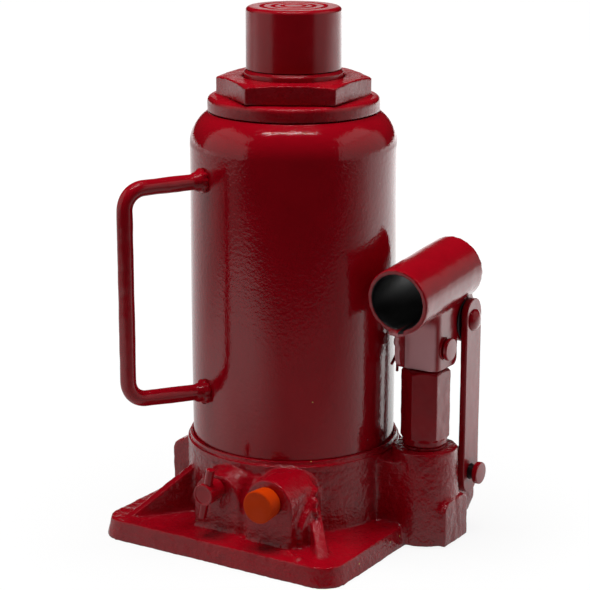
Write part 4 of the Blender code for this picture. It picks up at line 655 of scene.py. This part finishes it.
def base():
    """The casting, with its tapered ring and pump boss, the flare behind the valves and lumps of paint."""
    inner, ring_foot, ring_crest = 57 * MM, 59.4 * MM, 58.25 * MM
    ring = [(inner, 6 * MM), (ring_foot, 6 * MM), (ring_crest, 0.0486), (inner, 0.0486)]
    core, chamfer = 15 * MM, 0.6 * MM
    pump_boss = [(core, 0.8 * MM), (PUMP_BOSS_FOOT_RADIUS, 0.8 * MM)]
    pump_boss += [(PUMP_BOSS_TOP_RADIUS, PUMP_BOSS_TOP - chamfer)]
    pump_boss += [(PUMP_BOSS_TOP_RADIUS - chamfer, PUMP_BOSS_TOP), (core, PUMP_BOSS_TOP)]
    sources = [
        node_mesh("base_casting"),
        lathe("ring", ring, 200),
        lathe("pump_boss", pump_boss, 120, PUMP),
        valve_boss(RELEASE.x, RELEASE_FACE, RELEASE_BOSS_TOP, 0.046),
        valve_boss(OVERLOAD.x, OVERLOAD_FACE, OVERLOAD_BOSS_TOP, 0.048),
        boss_flare(),
    ]
    # Paint that gathered at the foot of a ridge and beside a boss: place and radius, in millimetres
    for x, y, radius in ((44.0, -76.0, 3.2), (47.0, -77.5, 2.4), (40.5, -75.5, 2.2), (52.0, -79.0, 2.6)):
        sources.append(blob(Vector((x, y, 11.2)) * MM, radius * MM, (1, 1, 0.8)))
    for x, y, z, radius in ((47.0, -54.0, 33.0, 2.6), (48.5, -56.0, 29.0, 2.2), (46.0, -52.0, 38.0, 2.0)):
        sources.append(blob(Vector((x, y, z)) * MM, radius * MM))
    rounded = [
        ((0, 0, 0), UP, RECESS_RADIUS, 0.5 * MM, 0.0445, 0.0500),
        ((0, 0, 0), UP, ring_foot, 0.7 * MM, 0.0100, 0.0480, ring_crest),
        (PUMP, UP, PUMP_BOSS_FOOT_RADIUS, 0.8 * MM, 0.0010, 0.0510, PUMP_BOSS_TOP_RADIUS),
    ]
    mesh = recast("base", sources, 0.75 * MM, 4, (), 1, 30, rounded)
    taper_ridges(mesh)
    raise_lumps(mesh, [(0.014, 0.30 * MM), (0.005, 0.22 * MM), (0.0022, 0.14 * MM)], 1)
    add_piece("base", mesh, "cast", "root", "cast_enamel", ["base_casting"])


def ring_lip():
    """The ring's machined rim, which stands round the foot of the tank."""
    outer, inner = RING_RADIUS + 0.1 * MM, RECESS_RADIUS + 0.05 * MM
    profile = [
        (inner, 0.0448),
        (outer + 0.35 * MM, 0.0452),
        (outer + 0.25 * MM, 0.0484),
        (outer - 0.9 * MM, 0.0489),
        (outer - 1.1 * MM, RING_TOP),
        (inner, RING_TOP),
    ]
    closed = eased([*profile, profile[0], profile[1]], 0.25 * MM)[1:-1]
    mesh = lathe("ring_lip", closed, 220)
    add_piece("ring_lip", mesh, "cast", "root", "cast_enamel")


def shape_hexagon(mesh):
    """Draws the nut's hexagon up to its full height and out to the corners it was forged with."""
    taller, deeper, wider, half_depth = 0.21, 1.075, 0.125, 36 * MM
    points = coordinates(mesh)
    rise = points[:, 2] - NUT_SHOULDER
    points[:, 2] += np.maximum(rise - 0.7 * MM, 0) * taller
    rise = points[:, 2] - NUT_SHOULDER
    turn = math.radians(1.2)
    x = points[:, 0] * math.cos(turn) - points[:, 1] * math.sin(turn)
    y = points[:, 0] * math.sin(turn) + points[:, 1] * math.cos(turn)
    c, r = TOWARDS_CAMERA, CAMERA_RIGHT
    depth, side = x * c.x + y * c.y, x * r.x + y * r.y
    side = side * (1 + wider * (depth / half_depth) ** 2)
    depth = depth * deeper
    share = np.clip((np.hypot(points[:, 0], points[:, 1]) - 29 * MM) / (4 * MM), 0, 1)
    share *= np.clip((rise - 0.2 * MM) / (0.5 * MM), 0, 1)
    points[:, 0] += (depth * c.x + side * r.x - points[:, 0]) * share
    points[:, 1] += (depth * c.y + side * r.y - points[:, 1]) * share
    set_coordinates(mesh, points)


def nut():
    """The top nut: a flange with a rounded upper edge and a step under its rim, and the hexagon."""
    inner, step, edge = 40 * MM, 43.6 * MM, 2.6 * MM
    flange = [(inner, NUT_FOOT), (step, NUT_FOOT), (step, FLANGE_EDGE), (FLANGE_RADIUS, FLANGE_EDGE)]
    flange += arc((FLANGE_RADIUS - edge, NUT_SHOULDER - edge), edge, 0, 90, 10)
    flange += [(inner, NUT_SHOULDER)]
    sources = [node_mesh("top_nut"), lathe("flange", flange, 200)]
    upright = (FLANGE_EDGE + 0.8 * MM, NUT_SHOULDER - edge - 0.2 * MM)
    rounded = [((0, 0, 0), UP, FLANGE_RADIUS, 0.6 * MM, *upright)]
    mesh = recast("nut", sources, 0.55 * MM, 1, (), 2, 2, rounded)
    points = coordinates(mesh)
    rim = (np.hypot(points[:, 0], points[:, 1]) > step + 0.2 * MM) & (points[:, 2] < FLANGE_EDGE)
    points[rim, 2] = FLANGE_EDGE
    set_coordinates(mesh, points)
    shape_hexagon(mesh)
    raise_lumps(mesh, [(0.012, 0.12 * MM), (0.003, 0.05 * MM)], 2)
    add_piece("nut", mesh, "nut", "root", "cast_enamel", ["top_nut"])


def ram_and_saddle():
    """The ram with its piston's groove, and the saddle with soft turned rings in its top."""
    recess, piston, groove, screw = SADDLE_SPIGOT + 0.3 * MM, 31.7 * MM, 29.4 * MM, 16 * MM
    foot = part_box("ram")[0][2]
    profile = [
        (0, RAM_TOP - SADDLE_SPIGOT_LENGTH),
        (recess, RAM_TOP - SADDLE_SPIGOT_LENGTH),
        (recess, RAM_TOP),
        (RAM_RADIUS - RAM_CHAMFER, RAM_TOP),
        (RAM_RADIUS, RAM_TOP - RAM_CHAMFER),
        (RAM_RADIUS, PISTON_TOP),
        (piston, PISTON_TOP),
        (piston, PISTON_TOP - 1.5 * MM),
        (groove, PISTON_TOP - 1.5 * MM),
        (groove, PISTON_TOP - 8.5 * MM),
        (piston, PISTON_TOP - 8.5 * MM),
        (piston, PISTON_TOP - 10 * MM),
        (screw, PISTON_TOP - 10 * MM),
        (screw, foot),
        (0, foot),
    ]
    mesh = lathe("ram_rod", eased(profile, 0.3 * MM))
    add_piece("ram_rod", mesh, "turned", "ram", "gloss_enamel", ["ram"], 30)
    edge, groove_half = 2.2 * MM, 1.5 * MM
    flat = SADDLE_RADIUS - edge
    reach = np.linspace(0, flat, 150)
    dip = sum(np.cos(np.clip((reach - r) / groove_half, -1, 1) * math.pi) + 1 for r in GROOVE_RADII)
    top = list(zip(reach, SADDLE_TOP - 0.5 * MM * dip))
    top += arc((flat, SADDLE_TOP - edge), edge, 90, 0, 12)[1:]
    top += [(SADDLE_RADIUS, SADDLE_FOOT), (SADDLE_SPIGOT, SADDLE_FOOT)]
    spigot_end = SADDLE_FOOT - SADDLE_SPIGOT_LENGTH
    top += [(SADDLE_SPIGOT, spigot_end), (0, spigot_end)]
    mesh = lathe("saddle_head", top)
    add_piece("saddle_head", mesh, "turned", "ram", "gloss_enamel", ["saddle"], 35)


def around(angle, reach, height):
    """A point at this many degrees round the tank's axis."""
    a = math.radians(angle)
    return Vector((reach * math.cos(a), reach * math.sin(a), height))


def handle():
    """The carry handle: a bent rod, welded to the tank at both ends."""
    knee, foot = 75 * MM, HANDLE_LOW + HANDLE_LOW_RISE
    line = [(TANK_RADIUS - 1 * MM, HANDLE_TOP), (knee, HANDLE_TOP)]
    line += arc((HANDLE_REACH - HANDLE_BEND, HANDLE_TOP - HANDLE_BEND), HANDLE_BEND, 90, 0, 12)
    line += [(HANDLE_REACH, z) for z in np.linspace(0.17, 0.11, 8)]
    line += arc((HANDLE_REACH - HANDLE_BEND, foot + HANDLE_BEND), HANDLE_BEND, 0, -90, 12)
    line += [(knee, foot - 0.8 * MM), (TANK_RADIUS - 1 * MM, HANDLE_LOW)]
    parts = [swept("rod", [around(HANDLE_ANGLE, r, z) for r, z in line], HANDLE_RADIUS, 28)]
    # At each end a ring of weld beads, round two larger lumps on the rod
    beads, pick = 11, random.Random(5)
    outward = around(HANDLE_ANGLE, 1, 0)
    side = outward.cross(UP)
    for height in (HANDLE_TOP, HANDLE_LOW):
        for k in range(beads):
            a = 2 * math.pi * k / beads + pick.uniform(-0.15, 0.15)
            lift = side * math.cos(a) + UP * math.sin(a)
            centre = outward * (TANK_RADIUS + 1.3 * MM) + UP * height + lift * 4.6 * MM
            parts.append(blob(centre, pick.uniform(1.9, 2.5) * MM))
        for reach, radius in ((4.0, 5.3), (2.0, 5.8)):
            centre = outward * (TANK_RADIUS + reach * MM) + UP * height
            parts.append(blob(centre, radius * MM))
    mesh = recast("lifting_handle", parts, 0.5 * MM, 3, [(0.012, 0.20 * MM), (0.004, 0.06 * MM)], 3)
    add_piece("lifting_handle", mesh, "rod", "root", "gloss_enamel", ["carry_handle"])


def valves():
    """The release valve's spindle and bar, and the orange cap of the overload valve."""
    rear = -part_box("release_valve_spindle")[1][1]
    head, neck, step = 5.9 * MM, 4.7 * MM, 0.0683
    profile = [
        (0, 0.0806),
        (4.5 * MM, 0.0806),
        (5.0 * MM, 0.0810),
        (head, 0.0810),
        (head, step),
        (neck, step),
        (neck, rear + 3 * MM),
        (2.2 * MM, rear),
        (0, rear),
    ]
    mesh = lathe("release_spindle", eased(profile, 0.5 * MM), 96, RELEASE, FACING_FRONT)
    finish = ("forged", "release_valve", "cast_enamel")
    add_piece("release_spindle", mesh, *finish, ["release_valve_spindle"])
    half, radius, place = 14.5 * MM, 2.3 * MM, (RELEASE.x, -0.0775, RELEASE.z)
    bar = eased([(0, half), (radius, half), (radius, -half), (0, -half)], 0.8 * MM, 6)
    mesh = lathe("release_bar", bar, 48, place, (0, math.radians(12), 0))
    add_piece("release_bar", mesh, *finish, ["release_valve_tommy_bar"])
    front, seat, end, stem = 0.0815, 0.0713, 0.0653, 5.9 * MM
    cap = [(0, front), (9.0 * MM, front), (8.2 * MM, seat), (stem, seat), (stem, end), (0, end)]
    mesh = lathe("overload_cap", eased(cap, 1.3 * MM, 6), 120, OVERLOAD, FACING_FRONT)
    add_piece("overload_cap", mesh, "orange", "root", "orange_plastic", ["overload_valve_plug"])


def pump():
    """The hexagonal barrel, and the black plunger in it."""
    lumps = [(0.008, 0.2 * MM), (0.003, 0.08 * MM)]
    mesh = recast("pump_barrel", [node_mesh("pump_cylinder")], 0.5 * MM, 3, lumps, 4)
    add_piece("pump_barrel", mesh, "forged", "root", "cast_enamel", ["pump_cylinder"])
    mesh = recast("plunger_rod", [node_mesh("pump_plunger")], 0.5 * MM, 2)
    add_piece("plunger_rod", mesh, "black", "plunger", "black_steel", ["pump_plunger"])


def disc(name, place, radius, start, end, edge=0.5 * MM):
    """A turned disc on an axis along X, from start to end beyond the place."""
    profile = [(0, end), (radius, end), (radius, start), (0, start)]
    return lathe(name, eased(profile, edge, 5), 72, place, FACING_RIGHT)


def linkage():
    """The two link plates with their black washers, and the pins that they turn on."""
    lumps = [(0.012, 0.12 * MM), (0.003, 0.04 * MM)]
    for side in ("right", "left"):
        link, plate, washer = "link_" + side, "link_plate_" + side, "link_washer_" + side
        mesh = recast(link, [node_mesh(plate)], 0.45 * MM, 3, lumps, 5)
        add_piece(link, mesh, "forged", "links", "cast_enamel", [plate])
        mesh = recast(washer + "_worn", [node_mesh(washer)], 0.3 * MM, 1)
        add_piece(washer + "_worn", mesh, "black", "links", "black_steel", [washer])
    outer = LINK_OUTER + 0.1 * MM
    dome = [(0, 3.0 * MM), (2.2 * MM, 2.8 * MM), (4.4 * MM, 1.9 * MM), (5.6 * MM, 0.9 * MM), (PIN_HEAD, 0)]
    head = [(r, outer + z) for r, z in dome]
    shank = [(LINK_PIN_RADIUS, outer), (LINK_PIN_RADIUS, -outer)]
    profile = head + shank + [(r, -z) for r, z in reversed(head)]
    mesh = lathe("upper_pin", eased(profile, 0.5 * MM, 4), 72, UPPER_PIN, FACING_RIGHT)
    add_piece("upper_pin", mesh, "forged", "links", "cast_enamel", ["link_upper_pin"])
    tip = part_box("link_lower_pin")[1][0] - PUMP.x
    mesh = disc("lower_pin", LOWER_PIN, LINK_PIN_RADIUS, -LINK_OUTER - 7 * MM, tip - 1.5 * MM)
    add_piece("lower_pin", mesh, "black", "root", "black_steel", ["link_lower_pin"])
    mesh = disc("lower_pin_head", LOWER_PIN, PIN_HEAD, tip - 3.0 * MM, tip, 0.7 * MM)
    add_piece("lower_pin_head", mesh, "forged", "root", "cast_enamel")


def notch(mesh, along):
    """A drawn-out dent in the foot of the socket's mouth, where the weld pulled the wall down."""
    middle, half_width, length, depth = -82, 15, 16 * MM, 2.4 * MM
    points = coordinates(mesh)
    height, across, reach = polar(points, SOCKET_MOUTH, along)
    angle = np.degrees(np.arctan2(across[:, 2], across[:, 0]))
    near = np.clip(1 - np.abs(angle - middle) / half_width, 0, 1) ** 1.5
    near *= np.clip(1 - height / length, 0, 1)
    inner = (np.abs(reach - BORE_RADIUS) < 0.8 * MM) & (near > 0)
    points[inner] += across[inner] / reach[inner, None] * (near[inner] * depth)[:, None]
    set_coordinates(mesh, points)


def socket_runs():
    """Runs of paint down the front of the bracket's left leg, and beads of weld under the tube's mouth."""
    steps, pick, made = 14, random.Random(11), []
    for t in [k / steps for k in range(steps + 1)]:
        x = PUMP.x - BRACKET_HALF + 1.6 * MM + pick.uniform(-0.5, 0.7) * MM
        y = -4.0 * MM + 25 * MM * max(0, t - 0.45) ** 2
        made.append(blob((x, y, 0.1225 - 0.0240 * t), pick.uniform(1.2, 1.9) * MM, (1, 0.9, 1.4)))
    beads = [(-3.8, 1.4, -16.9, 1.7), (-1.5, 1.5, -17.3, 1.6)]
    beads += [(0.6, 1.3, -17.4, 1.8), (2.8, 1.7, -17.0, 1.4)]
    for x, y, z, radius in beads:
        made.append(blob(SOCKET_MOUTH + Vector((x, y, z)) * MM, radius * MM))
    return made


def socket():
    """The handle's socket: the tube and the bracket under it, with their weld."""
    along = SOCKET_TAIL - SOCKET_MOUTH
    length = along.length
    sources = [node_mesh("handle_socket"), *socket_runs()]
    rounded = [
        (SOCKET_MOUTH, along, SOCKET_RADIUS, 0.7 * MM, 1.2 * MM, length - 1.2 * MM),
        (SOCKET_MOUTH, along, BORE_RADIUS, 0.7 * MM, 0.9 * MM, length - 0.9 * MM),
    ]
    mesh = recast("socket", sources, 0.55 * MM, 3, (), 8, 6, rounded)
    notch(mesh, along)
    raise_lumps(mesh, [(0.012, 0.12 * MM), (0.004, 0.05 * MM)], 8)
    add_piece("socket", mesh, "socket", "handle_lever", "gloss_enamel", ["handle_socket"])


def socket_pin():
    """The plunger's pin, with its head and the collar on the bracket's side."""
    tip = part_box("plunger_pin")[1][0] - PUMP.x
    mesh = disc("socket_pin", PLUNGER_PIN, PLUNGER_PIN_RADIUS, -BRACKET_HALF - 7 * MM, tip - 1.0 * MM)
    add_piece("socket_pin", mesh, "black", "handle_lever", "black_steel", ["plunger_pin"])
    mesh = disc("socket_pin_head", PLUNGER_PIN, PIN_HEAD, tip - 2.2 * MM, tip, 0.6 * MM)
    add_piece("socket_pin_head", mesh, "forged", "handle_lever", "cast_enamel")
    inner, outer = BRACKET_HALF - 0.3 * MM, BRACKET_HALF + 0.6 * MM
    mesh = disc("socket_pin_collar", PLUNGER_PIN, PIN_HEAD + 0.2 * MM, inner, outer, 0.2 * MM)
    add_piece("socket_pin_collar", mesh, "forged", "handle_lever", "cast_enamel")


def socket_pin_cotter():
    """The plunger pin's cotter: its shank from above, and three bent legs below."""
    x, sides = 0.0623, 10
    root, above = Vector((x, 0.0060, 0.1030)), Vector((0, 0, 0.6 * MM))
    legs = []
    for y, z in ((-0.0010, 0.0982), (0.0052, 0.0926), (0.0080, 0.0968)):
        end = Vector((x, y, z))
        line = [root, root.lerp(end, 0.35) + above, root.lerp(end, 0.7), end]
        legs.append(swept("leg", line, 0.8 * MM, sides))
    shank = [Vector((x, PLUNGER_PIN.y, z)) for z in (0.1165, 0.1125, 0.1075)]
    legs.append(swept("leg", [*shank, root], 1.1 * MM, sides))
    mesh = merged("socket_pin_cotter", legs)
    replaced = ["plunger_pin_cotter"]
    add_piece("socket_pin_cotter", mesh, "forged", "handle_lever", "black_steel", replaced, 30)


# Stage


def glossy_white(nodes, place):
    """The table's brightness in reflections.

    It falls in front and far off, rises behind and on the right, and has two brighter pools.
    """
    dimmest, brightest = 0.14, 2.2
    forward = nodes.dot(place, TOWARDS_CAMERA)
    side = nodes.range(nodes.dot(place, CAMERA_RIGHT), -0.55, 0.55, -1.0, 1.0, False)
    middle = nodes.math("MULTIPLY_ADD", side, 0.33, 0.60)
    slope = nodes.math("MULTIPLY_ADD", side, 0.38, 1.35)
    level = nodes.math("SUBTRACT", middle, nodes.math("MULTIPLY", slope, forward))
    level = nodes.math("SUBTRACT", level, nodes.range(forward, 0.02, 0.14, 0.0, 0.16))
    level = nodes.math("MAXIMUM", level, dimmest)
    away = nodes.measure("LENGTH", place)
    level = nodes.math("MULTIPLY", level, nodes.range(away, 1.0, 1.5, 1.0, 0.42))
    for centre, reach, more in (
        (CAMERA_RIGHT * 0.42 - TOWARDS_CAMERA * 0.20, 0.45, 0.8),
        (-CAMERA_RIGHT * 0.40 + TOWARDS_CAMERA * 0.22, 0.38, 0.5),
    ):
        gap = nodes.measure("DISTANCE", place, centre)
        level = nodes.math("ADD", level, nodes.range(gap, 0.10, reach, more, 0.0))
    return nodes.math("MINIMUM", level, brightest)


def floor():
    """A pale table that ends just in front of the object: matte for light, and white to the camera."""
    front, rear, half, drop = 0.50, 5.0, 4.0, 0.2 * MM
    c, r = TOWARDS_CAMERA, CAMERA_RIGHT
    corners = [c * front - r * half, c * front + r * half, -c * rear + r * half, -c * rear - r * half]
    mesh = mesh_of("floor", [p - UP * drop for p in corners], [(0, 1, 2, 3)])
    material = bpy.data.materials.new("pale_floor")
    material.use_nodes = True
    nodes = Nodes(material.node_tree)
    path = nodes.add("LightPath")
    place = nodes.add("TexCoord").outputs["Object"]
    matte = nodes.add("BsdfDiffuse", {}, Color=(0.52, 0.52, 0.52, 1)).outputs[0]
    shown = nodes.add("BsdfDiffuse", {}, Color=(0.10, 0.10, 0.10, 1)).outputs[0]
    white = nodes.range(nodes.measure("LENGTH", place), 0.1, 0.45, 0.90, 1.0)
    glow = nodes.add("Emission", {}, Color=(1, 1, 1, 1), Strength=white).outputs[0]
    seen = nodes.add("AddShader", {}, i0=shown, i1=glow).outputs[0]
    level = glossy_white(nodes, place)
    mirrored = nodes.add("Emission", {}, Color=(1, 1, 1, 1), Strength=level).outputs[0]
    first = nodes.add("MixShader", {}, i0=path.outputs["Is Glossy Ray"], i1=matte, i2=mirrored).outputs[0]
    last = nodes.add("MixShader", {}, i0=path.outputs["Is Camera Ray"], i1=first, i2=seen).outputs[0]
    nodes.put(last, nodes.add("OutputMaterial").inputs[0])
    mesh.materials.append(material)
    plane = bpy.data.objects.new("floor", mesh)
    bpy.context.scene.collection.objects.link(plane)


def world():
    """White to the camera. Otherwise dark, but for a patch on the horizon behind the object."""
    made = bpy.data.worlds.new("studio")
    bpy.context.scene.world = made
    made.use_nodes = True
    nodes = Nodes(made.node_tree)
    path = nodes.add("LightPath")
    rear = nodes.dot(nodes.add("TexCoord").outputs["Generated"], -TOWARDS_CAMERA)
    dim = nodes.range(rear, 0.980, 0.999, 0.012, 1.0)
    strength = nodes.math("MAXIMUM", dim, path.outputs["Is Camera Ray"])
    shader = nodes.add("Background", {}, Color=(1, 1, 1, 1), Strength=strength)
    nodes.put(shader.outputs[0], nodes.add("OutputWorld").inputs[0])


def lamp(name, centre, facing, size, brightness):
    """A rectangular soft light. Its sides lie level and upright, and brightness is its radiance."""
    data = bpy.data.lights.new(name, "AREA")
    data.shape = "RECTANGLE"
    data.size, data.size_y = size
    data.energy = brightness * math.pi * size[0] * size[1]
    thing = bpy.data.objects.new(name, data)
    thing.location = centre
    thing.rotation_euler = Vector(facing).to_track_quat("-Z", "Y").to_euler()
    bpy.context.scene.collection.objects.link(thing)
    return thing


def lamps():
    """Two lamps on each side, and overhead a narrow strip that shows in the paint and a soft one."""
    c, r = TOWARDS_CAMERA, CAMERA_RIGHT
    lamp("left_wall", -r * 1.15 + c * 0.20 + UP * 0.45, r, (1.40, 0.86), 0.45)
    lamp("left_upper", -r * 1.15 + c * 0.10 + UP * 1.20, r, (1.20, 0.60), 0.45)
    lamp("right_wall", r * 1.15 + c * 0.15 + UP * 0.45, -r, (1.60, 0.86), 0.36)
    lamp("right_upper", r * 1.15 + c * 0.10 + UP * 1.20, -r, (1.20, 0.60), 0.5)
    strip = lamp("overhead_strip", UP * 1.7 - r * 0.10 + c * 0.45, -UP, (1.2, 0.03), 32)
    soft = lamp("overhead_soft", UP * 1.75 - r * 0.10, -UP, (1.2, 0.5), 13.5)
    soft.visible_glossy = False
    for overhead in (strip, soft):
        overhead.rotation_euler = (0, 0, math.atan2(r.y, r.x))


place_camera()
dress_nodes()
tank()
base()
ring_lip()
nut()
ram_and_saddle()
handle()
valves()
pump()
linkage()
socket()
socket_pin()
socket_pin_cotter()
floor()
world()
lamps()
bpy.context.scene.view_settings.view_transform = "Standard"
